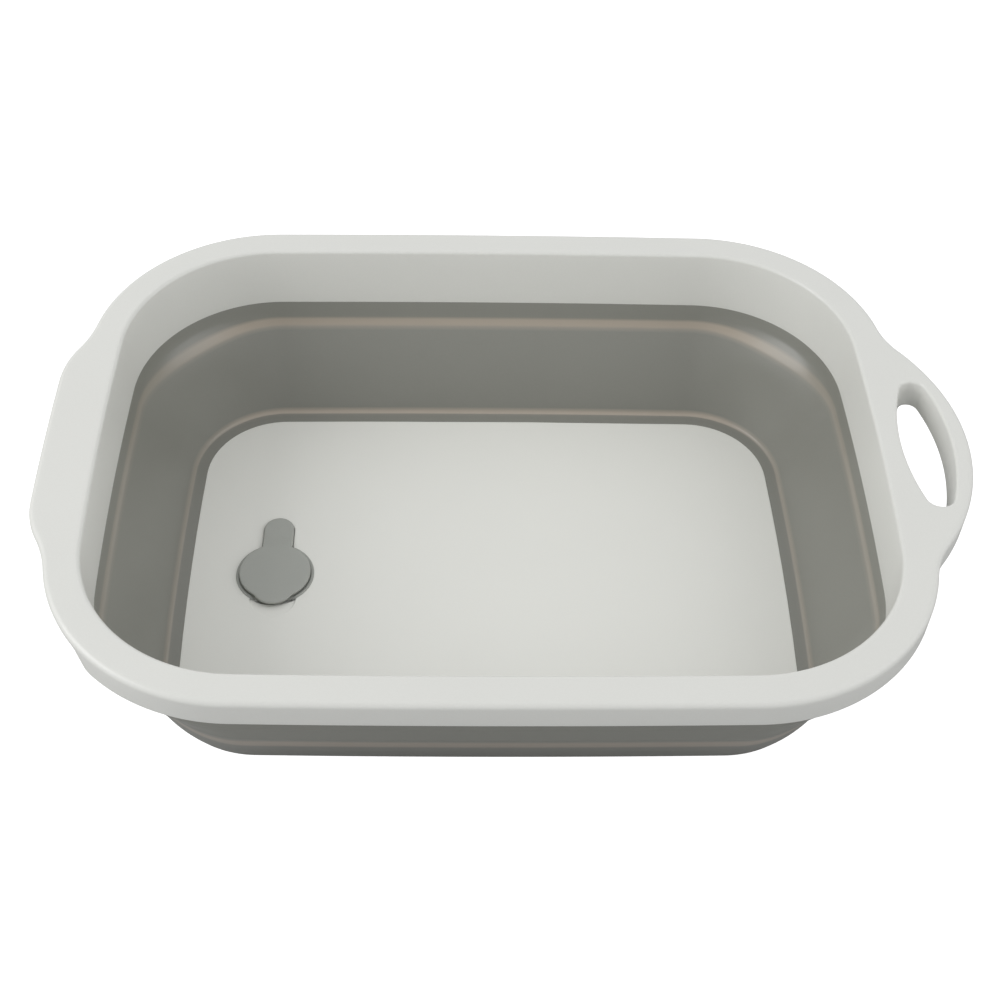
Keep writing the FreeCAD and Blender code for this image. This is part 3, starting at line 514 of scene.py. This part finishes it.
# ---------------------------------------------------------------- the folding wall
def wall_skin(material):
    """The elastic wall, from its sleeve round the collar to the strip round the floor, as one closed skin.

    A section with soft folds is carried round the basin.  At a corner the upper fold lies further in by
    FOLD_CORNER_INSET * sin(pi t) squared, with t the share of the corner arc, fading out to the collar
    above and to the lower fold below."""
    slope = (LOWER_FOLD_OFFSET - UPPER_FOLD_OFFSET) / (LOWER_FOLD_DEPTH - UPPER_FOLD_DEPTH)

    def outer(depth):
        """The panel's outer face at a depth."""
        return UPPER_FOLD_OFFSET + slope * (depth - UPPER_FOLD_DEPTH) + PANEL_WALL

    low = COLLAR_DEPTH + TONGUE_LENGTH
    collar_low = collar_inner(low)
    heel = BOTTOM_DEPTH + 1.2
    heel_edge = outer(heel) + 0.5
    section = rounded_path([
        (collar_inner(COLLAR_DEPTH) + 0.6, COLLAR_DEPTH, 0.0),
        (collar_inner(COLLAR_DEPTH), COLLAR_DEPTH, 0.3),
        (UPPER_FOLD_OFFSET, UPPER_FOLD_DEPTH, 12.0),
        (LOWER_FOLD_OFFSET, LOWER_FOLD_DEPTH, 2.4),
        (FLOOR_OFFSET, FLOOR_DEPTH, 0.2),
        (FLOOR_OFFSET, BOTTOM_DEPTH, 0.0),
        (heel_edge - 2.6, BOTTOM_DEPTH, 0.4),
        (heel_edge - 2.0, heel, 0.4),
        (heel_edge, heel, 0.8),
        (outer(UPPER_FOLD_DEPTH + 9.0), UPPER_FOLD_DEPTH + 9.0, 8.0),
        (UPPER_FOLD_OFFSET + 1.9, UPPER_FOLD_DEPTH + 2.0, 3.0),
        (UPPER_FOLD_OFFSET + 3.2, UPPER_FOLD_DEPTH - 4.0, 3.0),
        (collar_low + COLLAR_WALL + SLEEVE_WALL, low, 2.0),
        (collar_inner(SLEEVE_DEPTH) + COLLAR_WALL + SLEEVE_WALL, SLEEVE_DEPTH, 0.5),
        (collar_inner(SLEEVE_DEPTH) + COLLAR_WALL, SLEEVE_DEPTH, 0.0),
        (collar_low + COLLAR_WALL, low, 0.0),
        (collar_low + TONGUE_STEP, low, 0.0),
        (collar_inner(COLLAR_DEPTH) + TONGUE_STEP, COLLAR_DEPTH, 0.0),
        (collar_inner(COLLAR_DEPTH) + 0.6, COLLAR_DEPTH, 0.0),
    ], steps=8)
    section = subdivided(section, 2.6)[:-1]
    near, normal = arc_stations(basin_chain(), BASIN_STEPS)
    corner_share = np.concatenate([
        np.arange(count) / count * (count == CORNER_STEPS) for count in BASIN_STEPS
    ])
    corner = np.sin(math.pi * corner_share) ** 2
    depth = section[:, 1]
    fold = smooth_step(depth, low, UPPER_FOLD_DEPTH + 2.0)
    fold = fold * (1.0 - smooth_step(depth, UPPER_FOLD_DEPTH + 4.0, LOWER_FOLD_DEPTH))
    offset = section[:, :1] - FOLD_CORNER_INSET * fold[:, None] * corner[None, :]
    plan = near[None] + offset[..., None] * normal[None]
    depths = np.broadcast_to(depth[:, None], offset.shape)
    skin = make_piece("wall_skin", placed(plan, depths).reshape(-1, 3),
                      grid_faces(*offset.shape, close_rows=True), material)
    inside = np.arange(len(section)) < np.argmax(np.isclose(section[:, 0], FLOOR_OFFSET))
    # Painted light: pale warm bands along the folds, inside and round the outer wall, stand for light shining
    # through the thin rubber there.
    upper_fold_glow = smooth_step(depth, 50.0, 51.6) * (1.0 - smooth_step(depth, 55.6, 58.6))
    lower_fold_glow = smooth_step(depth, 105.0, 106.2) * smooth_step(section[:, 0], -31.9, -31.1)
    outer_fold_glow = 0.9 * smooth_step(depth, 60.0, 63.0) * (1.0 - smooth_step(depth, 74.0, 80.0))
    tone = np.where(inside, np.maximum(upper_fold_glow, lower_fold_glow), outer_fold_glow)[:, None]
    # Painted shade: the painted glow is turned down on the two end walls, where less of that light shows.
    end_wall_dimming = 1.0 - 0.55 * smooth_step(np.abs(normal[:, 0]), 0.3, 1.0)
    fold_glow_values = skin.data.attributes.new("painted_fold_glow", "FLOAT", "POINT")
    fold_glow_values.data.foreach_set("value", (tone * end_wall_dimming).ravel().astype(np.float32))
    return skin


# ---------------------------------------------------------------- turned and pad-shaped pieces
def turned_piece(name, corners, x, y, material, count=96):
    """A closed section (radius, height, round) turned about the upright line at x, y, in millimetres."""
    corners = [(*corner, 0.0)[:3] for corner in corners]
    first, last = np.array(corners[0][:2]), np.array(corners[-1][:2])
    start = (*((first + last) / 2.0), 0.0)
    section = rounded_path([start] + corners + [start], steps=5)[:-1]
    angle = 2.0 * math.pi * np.arange(count) / count
    plan = np.array([x, y]) + section[:, :1, None] * np.stack([np.cos(angle), np.sin(angle)], axis=1)
    heights = np.broadcast_to(section[:, 1, None], plan.shape[:2])
    points = np.concatenate([plan * MM + (BASIN_X, 0.0), heights[..., None] * MM], axis=-1)
    return make_piece(name, points.reshape(-1, 3), grid_faces(len(section), count, close_rows=True), material)


def merged(piece):
    """The piece with its doubled points joined and its flattened faces gone."""
    shape = bmesh.new()
    shape.from_mesh(piece.data)
    bmesh.ops.remove_doubles(shape, verts=shape.verts, dist=1e-6)
    bmesh.ops.dissolve_degenerate(shape, edges=shape.edges, dist=1e-6)
    bmesh.ops.recalc_face_normals(shape, faces=shape.faces)
    shape.to_mesh(piece.data)
    shape.free()
    return piece


def pad_piece(name, outline, normals, spine, upper, lower, top, bottom, material):
    """A pad with rounded edges: rows run from its spine over its edge and back to the spine.

    A row (share, inset, away) lies share of the way from the outline, moved by inset along its normals,
    to the spine; its height is top less away on the upper rows, and bottom plus away on the lower ones."""
    heights, plans = [], []
    for rows, surface, sign in ((upper, top, -1.0), (lower, bottom, 1.0)):
        share, inset, away = (np.array(rows)[:, k, None, None] for k in range(3))
        plan = (1.0 - share) * (outline + inset * normals) + share * spine
        heights.append(surface(plan) + sign * away[..., 0])
        plans.append(plan)
    plan, height = np.concatenate(plans), np.concatenate(heights)
    points = np.concatenate([plan * MM + (BASIN_X, 0.0), height[..., None] * MM], axis=-1)
    return merged(make_piece(name, points.reshape(-1, 3), grid_faces(*height.shape), material))


def edge_rows(radius, steps=6, spread=(1.0, 0.8, 0.6, 0.4, 0.2, 0.08)):
    """Rows from the spine to the edge of a pad whose edge is rounded by a quarter circle."""
    turn = np.linspace(0.0, math.pi / 2.0, steps)
    rounding = [(0.0, -radius * (1.0 - math.sin(a)), radius * (1.0 - math.cos(a))) for a in turn]
    return [(share, -radius, 0.0) for share in spread] + rounding


# ---------------------------------------------------------------- drain
DRAIN = np.array([DRAIN_X - BASIN_X, DRAIN_Y]) / MM
FLOOR_Z = FLOOR_TOP / MM
PLUG_TOP = HINGE.z / MM + 0.9
PLUG_RADIUS = SEAT_RADIUS - 1.9
LIP_RADIUS, LIP_REACH = 12.0, 3.6
LIP_Y = LIP_RADIUS - PLUG_RADIUS - LIP_REACH
SHEET_THICKNESS = 1.4
STRAP_HALF_WIDTH = 9.0
STRAP_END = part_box("plug_strap")[1][1] / MM - DRAIN[1] - STRAP_HALF_WIDTH
SEAT_Z = FLOOR_Z - 0.6
LIP_FILLET, NECK_FILLET = 8.0, 1.2


def stopper_outline():
    """The stopper's outline: finger lip, disc and strap joined by hollow fillets, about the drain."""
    disc, lip = (0.0, 0.0), (0.0, LIP_Y)
    joint = circle_crossing(disc, PLUG_RADIUS + LIP_FILLET, lip, LIP_RADIUS + LIP_FILLET)
    joint = (abs(joint[0]), joint[1])
    neck_x = STRAP_HALF_WIDTH + NECK_FILLET
    neck = (neck_x, math.sqrt((PLUG_RADIUS + NECK_FILLET) ** 2 - neck_x**2))
    curved, curved_normals = arc_stations([
        (*lip, LIP_RADIUS, -math.pi / 2.0, angle_to(lip, joint)),
        (*joint, LIP_FILLET, angle_to(joint, lip) % (2.0 * math.pi), angle_to(joint, disc) % (2.0 * math.pi)),
        (*disc, PLUG_RADIUS, angle_to(disc, joint), angle_to(disc, neck)),
        (*neck, NECK_FILLET, angle_to(neck, disc) % (2.0 * math.pi), math.pi),
    ], [24, 8, 64, 8])
    side = np.linspace(neck[1], STRAP_END, 41)[:-1]
    straight = np.stack([np.full(40, STRAP_HALF_WIDTH), side], axis=1)
    straight_normals = np.broadcast_to((1.0, 0.0), straight.shape)
    turn = np.linspace(0.0, math.pi / 2.0, 25)
    ray = np.stack([np.cos(turn), np.sin(turn)], axis=1)
    half = np.vstack([curved, straight, (0.0, STRAP_END) + STRAP_HALF_WIDTH * ray])
    half_normals = np.vstack([curved_normals, straight_normals, ray])
    mirrored, mirrored_normals = half[-2:0:-1] * (-1.0, 1.0), half_normals[-2:0:-1] * (-1.0, 1.0)
    return np.vstack([half, mirrored]), np.vstack([half_normals, mirrored_normals])


def drain_stopper(material):
    """The stopper's sheet: disc, finger lip and strap moulded in one, with a soft rounded edge.

    Its underside is a sheet's thickness down, and lies in the floor's pocket along the strap, with a
    smooth step between the two; its top sinks to the strap's own height in the same way."""
    outline, normals = stopper_outline()
    spine = np.stack([np.zeros(len(outline)), np.clip(outline[:, 1], LIP_Y, STRAP_END)], axis=1)
    outline, spine = outline + DRAIN, spine + DRAIN
    hinge_y = HINGE.y / MM

    def top(plan):
        """The stopper's top, a little lower along the strap and dished by a hair across the disc."""
        dish = 0.3 * (1.0 - smooth_step(np.hypot(*(plan - DRAIN).transpose(2, 0, 1)), 10.0, 20.0))
        return PLUG_TOP - 0.8 * smooth_step(plan[..., 1], hinge_y - 2.0, hinge_y + 8.0) - dish

    def bottom(plan):
        """The stopper's underside."""
        sheet = PLUG_TOP - SHEET_THICKNESS
        on_ring = smooth_step(plan[..., 1], hinge_y, DRAIN[1] + SEAT_RADIUS - 1.0)
        in_pocket = smooth_step(plan[..., 1], DRAIN[1] + SEAT_RADIUS + 0.3, DRAIN[1] + SEAT_RADIUS + 1.0)
        return sheet - (sheet - FLOOR_Z - 0.45) * on_ring - 2.0 * in_pocket

    sheet = pad_piece("drain_stopper", outline, normals, spine, edge_rows(0.75), edge_rows(0.3)[::-1],
                      top, bottom, material)
    return sheet


def stopper_boss(material):
    """The hollow tapered boss under the stopper's disc, which wedges in the drain hole."""
    low = SEAT_Z - 5.2
    return turned_piece("stopper_boss", [
        (18.6, PLUG_TOP - 1.2), (19.0, SEAT_Z + 0.05, 0.5), (17.0, SEAT_Z + 0.05, 0.3), (15.6, low, 1.0),
        (13.2, low, 0.8), (14.2, PLUG_TOP - 1.2),
    ], *DRAIN, material)


def strap_anchor(material):
    """The button under the strap: a stem through the floor and a cone-shaped head below it."""
    low = PLATE_BOTTOM / MM
    return merged(turned_piece("strap_anchor", [
        (0.0, FLOOR_Z - 1.0), (2.0, FLOOR_Z - 1.0), (2.0, low), (4.0, low, 0.3), (2.0, low - 1.5, 0.3),
        (0.0, low - 1.5),
    ], DRAIN[0], DRAIN[1] + STRAP_END, material, count=48))


def drain_ring(material):
    """The soft grommet in the drain: a rounded rim at the floor, a seat, a sleeve and a lower lip.

    In front, where the finger scoop meets it, the rim sinks to the scoop's own level."""
    low = PLATE_BOTTOM / MM
    top = FLOOR_Z + 0.4
    sleeve = SEAT_RADIUS - 3.0
    ring = turned_piece("drain_ring", [
        (sleeve - 2.5, SEAT_Z, 0.5), (SEAT_RADIUS - 1.8, SEAT_Z, 0.3), (SEAT_RADIUS - 1.8, top, 0.4),
        (SEAT_RADIUS, top, 0.3), (SEAT_RADIUS, SEAT_Z - 1.2, 0.0), (sleeve, SEAT_Z - 1.2, 0.0),
        (sleeve, low, 0.0), (sleeve + 2.0, low, 0.2), (sleeve + 2.0, low - 0.7, 0.3),
        (sleeve, low - 1.4, 0.3), (sleeve - 2.5, low - 1.4, 0.5), (sleeve - 2.5, (SEAT_Z + low) / 2.0, 0.0),
    ], *DRAIN, material, count=128)
    points = np.empty(3 * len(ring.data.vertices))
    ring.data.vertices.foreach_get("co", points)
    points = points.reshape(-1, 3)
    front = smooth_step(DRAIN[1] - points[:, 1] / MM, 16.2, 19.2)
    points[:, 2] -= MM * 2.0 * front * smooth_step(points[:, 2] / MM, SEAT_Z - 0.1, FLOOR_Z)
    ring.data.vertices.foreach_set("co", points.ravel())
    return ring


# ---------------------------------------------------------------- feet
FOOT_WIDTH, FOOT_INSET, FOOT_EASE = 12.0, 14.0, math.radians(16.0)


def foot_pads(material):
    """Four bean-shaped pads: a stadium bent along each corner's arc, with a rounded lower edge.

    With d the distance round the pad, its outline runs along the outer arc, round a half circle, back
    along the inner arc and round the other half circle; its spine is the arc between them."""
    middle = CORNER_RADIUS + FLOOR_OFFSET - FOOT_INSET - FOOT_WIDTH / 2.0
    half = FOOT_WIDTH / 2.0
    pads = []
    names = ("foot_pad_back_right", "foot_pad_back_left", "foot_pad_front_left", "foot_pad_front_right")
    corners = [arc for arc in basin_chain() if arc[2] == CORNER_RADIUS]
    for name, (cx, cy, _, start, end) in zip(names, corners):
        run = np.linspace(start + FOOT_EASE, end - FOOT_EASE, 25)
        cap = np.linspace(0.0, math.pi, 17)[1:-1]
        bearing = np.concatenate([run, run[-1] + cap, run[::-1] + math.pi, run[0] + math.pi + cap])
        at = np.concatenate([run, np.full(15, run[-1]), run[::-1], np.full(15, run[0])])
        spine = (cx, cy) + middle * np.stack([np.cos(at), np.sin(at)], axis=1)
        normals = np.stack([np.cos(bearing), np.sin(bearing)], axis=1)
        pads.append(pad_piece(
            name, spine + half * normals, normals, spine,
            [(1.0, 0.0, 0.0), (0.0, 0.0, 0.0)], edge_rows(1.2, spread=(1.0, 0.5, 0.1))[::-1],
            lambda plan: np.full(plan.shape[:2], PLATE_BOTTOM / MM + 0.9),
            lambda plan: np.zeros(plan.shape[:2]), material,
        ))
    return pads


# ---------------------------------------------------------------- floor
def floor_sheet(material):
    """The rigid floor with eased edges: the frame's floor, joined up and given a small bevel."""
    node = frame["nodes"]["floor_plate"]
    mesh = node.data.copy()
    mesh.name = "floor_sheet"
    mesh.transform(node.matrix_world)
    mesh.materials.clear()
    mesh.materials.append(material)
    sheet = bpy.data.objects.new("floor_sheet", mesh)
    bpy.context.scene.collection.objects.link(sheet)
    shape = bmesh.new()
    shape.from_mesh(mesh)
    bmesh.ops.remove_doubles(shape, verts=shape.verts, dist=2e-6)
    bmesh.ops.dissolve_degenerate(shape, edges=shape.edges, dist=2e-6)
    bmesh.ops.dissolve_limit(shape, angle_limit=math.radians(0.5), verts=shape.verts, edges=shape.edges)
    for face in shape.faces:
        face.smooth = True
        face.material_index = 0
    for edge in shape.edges:
        broad = min((face.calc_area() for face in edge.link_faces), default=0.0) > 2e-5
        edge.smooth = edge.calc_face_angle(0.0) < math.radians(1.5 if broad else 30.0)
    shape.to_mesh(mesh)
    shape.free()
    bevel = sheet.modifiers.new("eased_edges", "BEVEL")
    bevel.width = 0.2 * MM
    bevel.segments = 2
    bevel.limit_method = "ANGLE"
    bevel.angle_limit = math.radians(40.0)
    bevel.use_clamp_overlap = False
    weighted = sheet.modifiers.new("flat_faces", "WEIGHTED_NORMAL")
    weighted.weight = 100
    weighted.keep_sharp = True
    return sheet


# ---------------------------------------------------------------- finishes
def node_group(name, inputs, outputs):
    """A new shader node group with float or vector inputs (name, kind, default) and outputs (name, kind)."""
    group = bpy.data.node_groups.new(name, "ShaderNodeTree")
    for label, kind, default in inputs:
        socket = group.interface.new_socket(label, in_out="INPUT", socket_type=kind)
        if default is not None:
            socket.default_value = default
    for label, kind in outputs:
        group.interface.new_socket(label, in_out="OUTPUT", socket_type=kind)
    entry = group.nodes.new("NodeGroupInput")
    leave = group.nodes.new("NodeGroupOutput")
    return group, entry, leave


def moulded_skin():
    """A moulded plastic's skin: a fine even grain, broad soft clouds and faint long scuffs.

    Grain is noise at Grain Scale per metre, Clouds is noise at Cloud Scale, and Scuffs is the top of a
    noise stretched twentyfold along X."""
    group, entry, leave = node_group(
        "moulded_skin",
        [("Vector", "NodeSocketVector", None), ("Grain Scale", "NodeSocketFloat", 1800.0),
         ("Cloud Scale", "NodeSocketFloat", 14.0)],
        [("Grain", "NodeSocketFloat"), ("Clouds", "NodeSocketFloat"), ("Scuffs", "NodeSocketFloat")],
    )
    links = group.links
    grain = group.nodes.new("ShaderNodeTexNoise")
    grain.inputs["Detail"].default_value = 2.0
    clouds = group.nodes.new("ShaderNodeTexNoise")
    clouds.inputs["Detail"].default_value = 2.0
    stretch = group.nodes.new("ShaderNodeVectorMath")
    stretch.operation = "MULTIPLY"
    stretch.inputs[1].default_value = (0.05, 1.0, 1.0)
    marks = group.nodes.new("ShaderNodeTexNoise")
    marks.inputs["Scale"].default_value = 900.0
    marks.inputs["Detail"].default_value = 2.0
    peaks = group.nodes.new("ShaderNodeMapRange")
    peaks.inputs["From Min"].default_value = 0.66
    peaks.inputs["From Max"].default_value = 0.78
    for texture, scale in ((grain, "Grain Scale"), (clouds, "Cloud Scale")):
        links.new(entry.outputs["Vector"], texture.inputs["Vector"])
        links.new(entry.outputs[scale], texture.inputs["Scale"])
    links.new(entry.outputs["Vector"], stretch.inputs[0])
    links.new(stretch.outputs[0], marks.inputs["Vector"])
    links.new(marks.outputs["Fac"], peaks.inputs["Value"])
    links.new(grain.outputs["Fac"], leave.inputs["Grain"])
    links.new(clouds.outputs["Fac"], leave.inputs["Clouds"])
    links.new(peaks.outputs["Result"], leave.inputs["Scuffs"])
    return group


def linear(red, green, blue):
    """A colour given as display values from 0 to 255, in the shader's linear units."""
    display = np.array([red, green, blue]) / 255.0
    value = np.where(display <= 0.04045, display / 12.92, ((display + 0.055) / 1.055) ** 2.4)
    return (*value.tolist(), 1.0)


def ranged(nodes, links, source, low, high, start=0.0, stop=1.0):
    """A Map Range node that turns source's run from start to stop into low to high."""
    node = nodes.new("ShaderNodeMapRange")
    for label, value in (("From Min", start), ("From Max", stop), ("To Min", low), ("To Max", high)):
        node.inputs[label].default_value = value
    links.new(source, node.inputs["Value"])
    return node.outputs["Result"]


def mixed(nodes, links, factor, first, second):
    """A Mix node between two colours, each a value or another node's output."""
    node = nodes.new("ShaderNodeMix")
    node.data_type = "RGBA"
    links.new(factor, node.inputs["Factor"])
    for socket, colour in (("A", first), ("B", second)):
        target = [entry for entry in node.inputs if entry.name == socket and entry.type == "RGBA"][0]
        if isinstance(colour, tuple):
            target.default_value = colour
        else:
            links.new(colour, target)
    return [entry for entry in node.outputs if entry.type == "RGBA"][0]


def moulding(name, skin, light, dark, rough, grain_scale=1800.0, grain_depth=0.02, specular=0.5, coat=0.0):
    """A moulded finish: two close tones in soft grainy clouds, uneven gloss, fine grain and faint scuffs."""
    material = bpy.data.materials.new(name)
    material.use_nodes = True
    nodes, links = material.node_tree.nodes, material.node_tree.links
    shader = nodes["Principled BSDF"]
    place = nodes.new("ShaderNodeTexCoord")
    surface = nodes.new("ShaderNodeGroup")
    surface.node_tree = skin
    surface.inputs["Grain Scale"].default_value = grain_scale
    links.new(place.outputs["Object"], surface.inputs["Vector"])
    blend = nodes.new("ShaderNodeMath")
    blend.operation = "ADD"
    links.new(surface.outputs["Clouds"], blend.inputs[0])
    links.new(surface.outputs["Grain"], blend.inputs[1])
    tone = mixed(nodes, links, ranged(nodes, links, blend.outputs[0], 0.0, 1.0, 0.6, 1.4), dark, light)
    links.new(tone, shader.inputs["Base Color"])
    uneven = ranged(nodes, links, surface.outputs["Clouds"], rough - 0.02, rough + 0.02, 0.2, 0.8)
    gloss = nodes.new("ShaderNodeMath")
    gloss.operation = "MULTIPLY_ADD"
    gloss.inputs[1].default_value = 0.015
    links.new(surface.outputs["Scuffs"], gloss.inputs[0])
    links.new(uneven, gloss.inputs[2])
    links.new(gloss.outputs[0], shader.inputs["Roughness"])
    bump = nodes.new("ShaderNodeBump")
    bump.inputs["Strength"].default_value = 0.35
    bump.inputs["Distance"].default_value = grain_depth * MM
    links.new(surface.outputs["Grain"], bump.inputs["Height"])
    links.new(bump.outputs["Normal"], shader.inputs["Normal"])
    shader.inputs["Specular IOR Level"].default_value = specular
    shader.inputs["Coat Weight"].default_value = coat
    shader.inputs["Coat Roughness"].default_value = 0.22
    return material, tone


def paint_fold_glow(material, tone, line):
    """Turns a finish towards a paler, warmer colour along the wall's folds, as its fold attribute says: painted
    light, standing for light shining warm through the thin rubber there.
    """
    nodes, links = material.node_tree.nodes, material.node_tree.links
    fold_glow_mask = nodes.new("ShaderNodeAttribute")
    fold_glow_mask.attribute_name = "painted_fold_glow"
    colour = mixed(nodes, links, fold_glow_mask.outputs["Fac"], tone, line)
    links.new(colour, nodes["Principled BSDF"].inputs["Base Color"])


skin = moulded_skin()
rim_plastic, _ = moulding(
    "rim_plastic", skin, linear(216, 216, 211), linear(213, 213, 208), 0.32, 900.0, 0.008
)
wall_elastomer, wall_tone = moulding(
    "wall_elastomer", skin, linear(133, 133, 126), linear(130, 130, 123), 0.32, 900.0, 0.01, specular=0.6
)
# Painted light on the wall: a pale warm glow along its folds.
paint_fold_glow(wall_elastomer, wall_tone, linear(171, 161, 148))
floor_plastic, _ = moulding(
    "floor_plastic", skin, linear(234, 234, 228), linear(232, 232, 226), 0.4, 1000.0, 0.012
)
plug_elastomer, _ = moulding(
    "plug_elastomer", skin, linear(168, 170, 164), linear(165, 167, 161), 0.4, 1100.0, 0.015
)
foot_elastomer, _ = moulding(
    "foot_elastomer", skin, linear(128, 127, 121), linear(122, 121, 115), 0.55, 1100.0, 0.02
)

# ---------------------------------------------------------------- the pieces and what they ride on
shell = rim_shell(rim_plastic)
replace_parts(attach(shell, "rim"), "rim_frame")
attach(rim_ribs(rim_plastic), "rim")

wall = wall_skin(wall_elastomer)
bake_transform(wall)
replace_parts(wall, "wall_upper_band", "wall_fold_panel", "wall_lower_ring")

floor = floor_sheet(floor_plastic)
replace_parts(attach(floor, "base"), "floor_plate")
grommet = drain_ring(plug_elastomer)
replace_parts(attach(grommet, "base"), "drain_seat_ring")

stopper = drain_stopper(plug_elastomer)
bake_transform(stopper)
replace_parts(stopper, "drain_plug", "plug_strap")
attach(stopper_boss(plug_elastomer), "plug")
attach(strap_anchor(plug_elastomer), "base")

feet = foot_pads(foot_elastomer)
for pad, node in zip(feet, ("foot_back_right", "foot_back_left", "foot_front_left", "foot_front_right")):
    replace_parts(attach(pad, "base"), node)

# ---------------------------------------------------------------- stage, light and camera
STAGE_HALF = 4.0


def stage_floor():
    """A plain pale floor with a faint glow of its own, so that it stays even right up to the object.

    The glow is for the eye only: what the floor throws back at the object is its own modest share of
    the room's light."""
    material = bpy.data.materials.new("stage_white")
    material.use_nodes = True
    nodes, links = material.node_tree.nodes, material.node_tree.links
    shader = nodes["Principled BSDF"]
    shader.inputs["Base Color"].default_value = (0.42, 0.42, 0.42, 1.0)
    shader.inputs["Roughness"].default_value = 0.9
    shader.inputs["Specular IOR Level"].default_value = 0.1
    shader.inputs["Emission Color"].default_value = (1.0, 1.0, 1.0, 1.0)
    links.new(nodes.new("ShaderNodeLightPath").outputs["Is Camera Ray"], shader.inputs["Emission Strength"])
    mesh = bpy.data.meshes.new("stage_floor")
    corners = [(-STAGE_HALF, -STAGE_HALF, 0.0), (STAGE_HALF, -STAGE_HALF, 0.0),
               (STAGE_HALF, STAGE_HALF, 0.0), (-STAGE_HALF, STAGE_HALF, 0.0)]
    mesh.from_pydata(corners, [], [(0, 1, 2, 3)])
    mesh.materials.append(material)
    plane = bpy.data.objects.new("stage_floor", mesh)
    bpy.context.scene.collection.objects.link(plane)
    return plane


def aimed(thing, place, target):
    """Puts a lamp at place with its light looking at target."""
    thing.location = place
    thing.rotation_euler = (Vector(target) - Vector(place)).to_track_quat("-Z", "Y").to_euler()


def soft_light(name, place, size, power, tint=(1.0, 1.0, 1.0)):
    """A square soft light above the basin."""
    lamp = bpy.data.lights.new(name, "AREA")
    lamp.size = size
    lamp.energy = power
    lamp.color = tint
    light = bpy.data.objects.new(name, lamp)
    bpy.context.scene.collection.objects.link(light)
    aimed(light, place, (BASIN_X, 0.0, RIM_TOP))
    return light


stage_floor()
soft_light("key_light", (-1.6, -0.25, 1.05), 1.2, 14.0)
soft_light("fill_light", (1.3, -0.2, 1.1), 1.2, 5.0)
soft_light("top_light", (0.0, 0.1, 1.6), 1.4, 1.5)

world = bpy.data.worlds.new("pale_room")
world.use_nodes = True
room, room_links = world.node_tree.nodes, world.node_tree.links
room["Background"].inputs["Color"].default_value = (0.975, 0.985, 1.0, 1.0)
height = room.new("ShaderNodeSeparateXYZ")
room_links.new(room.new("ShaderNodeTexCoord").outputs["Generated"], height.inputs["Vector"])
room_links.new(
    ranged(room, room_links, height.outputs["Z"], 1.12, 0.52), room["Background"].inputs["Strength"]
)
bpy.context.scene.world = world
bpy.context.scene.view_settings.view_transform = "Standard"

CAMERA_PLACE = Vector((BASIN_X - 0.0207, -0.656, RIM_TOP + 0.656))
CAMERA_YAW, CAMERA_PITCH, CAMERA_ROLL = (math.radians(angle) for angle in (2.29, 47.07, 1.98))


def studio_camera():
    """A camera turned by its yaw from +Y, tipped down by its pitch and rolled about its own axis."""
    ahead = Vector((math.sin(CAMERA_YAW) * math.cos(CAMERA_PITCH),
                    math.cos(CAMERA_YAW) * math.cos(CAMERA_PITCH), -math.sin(CAMERA_PITCH)))
    right = ahead.cross(Vector((0.0, 0.0, 1.0))).normalized()
    up = right.cross(ahead)
    turned_right = right * math.cos(CAMERA_ROLL) + up * math.sin(CAMERA_ROLL)
    turned_up = up * math.cos(CAMERA_ROLL) - right * math.sin(CAMERA_ROLL)
    lens = bpy.data.cameras.new("studio_camera")
    lens.lens = 60.6
    lens.sensor_width = 36.0
    camera = bpy.data.objects.new("studio_camera", lens)
    camera.matrix_world = Matrix.Translation(CAMERA_PLACE) @ Matrix(
        (turned_right, turned_up, -ahead)
    ).transposed().to_4x4()
    bpy.context.scene.collection.objects.link(camera)
    bpy.context.scene.camera = camera


studio_camera()
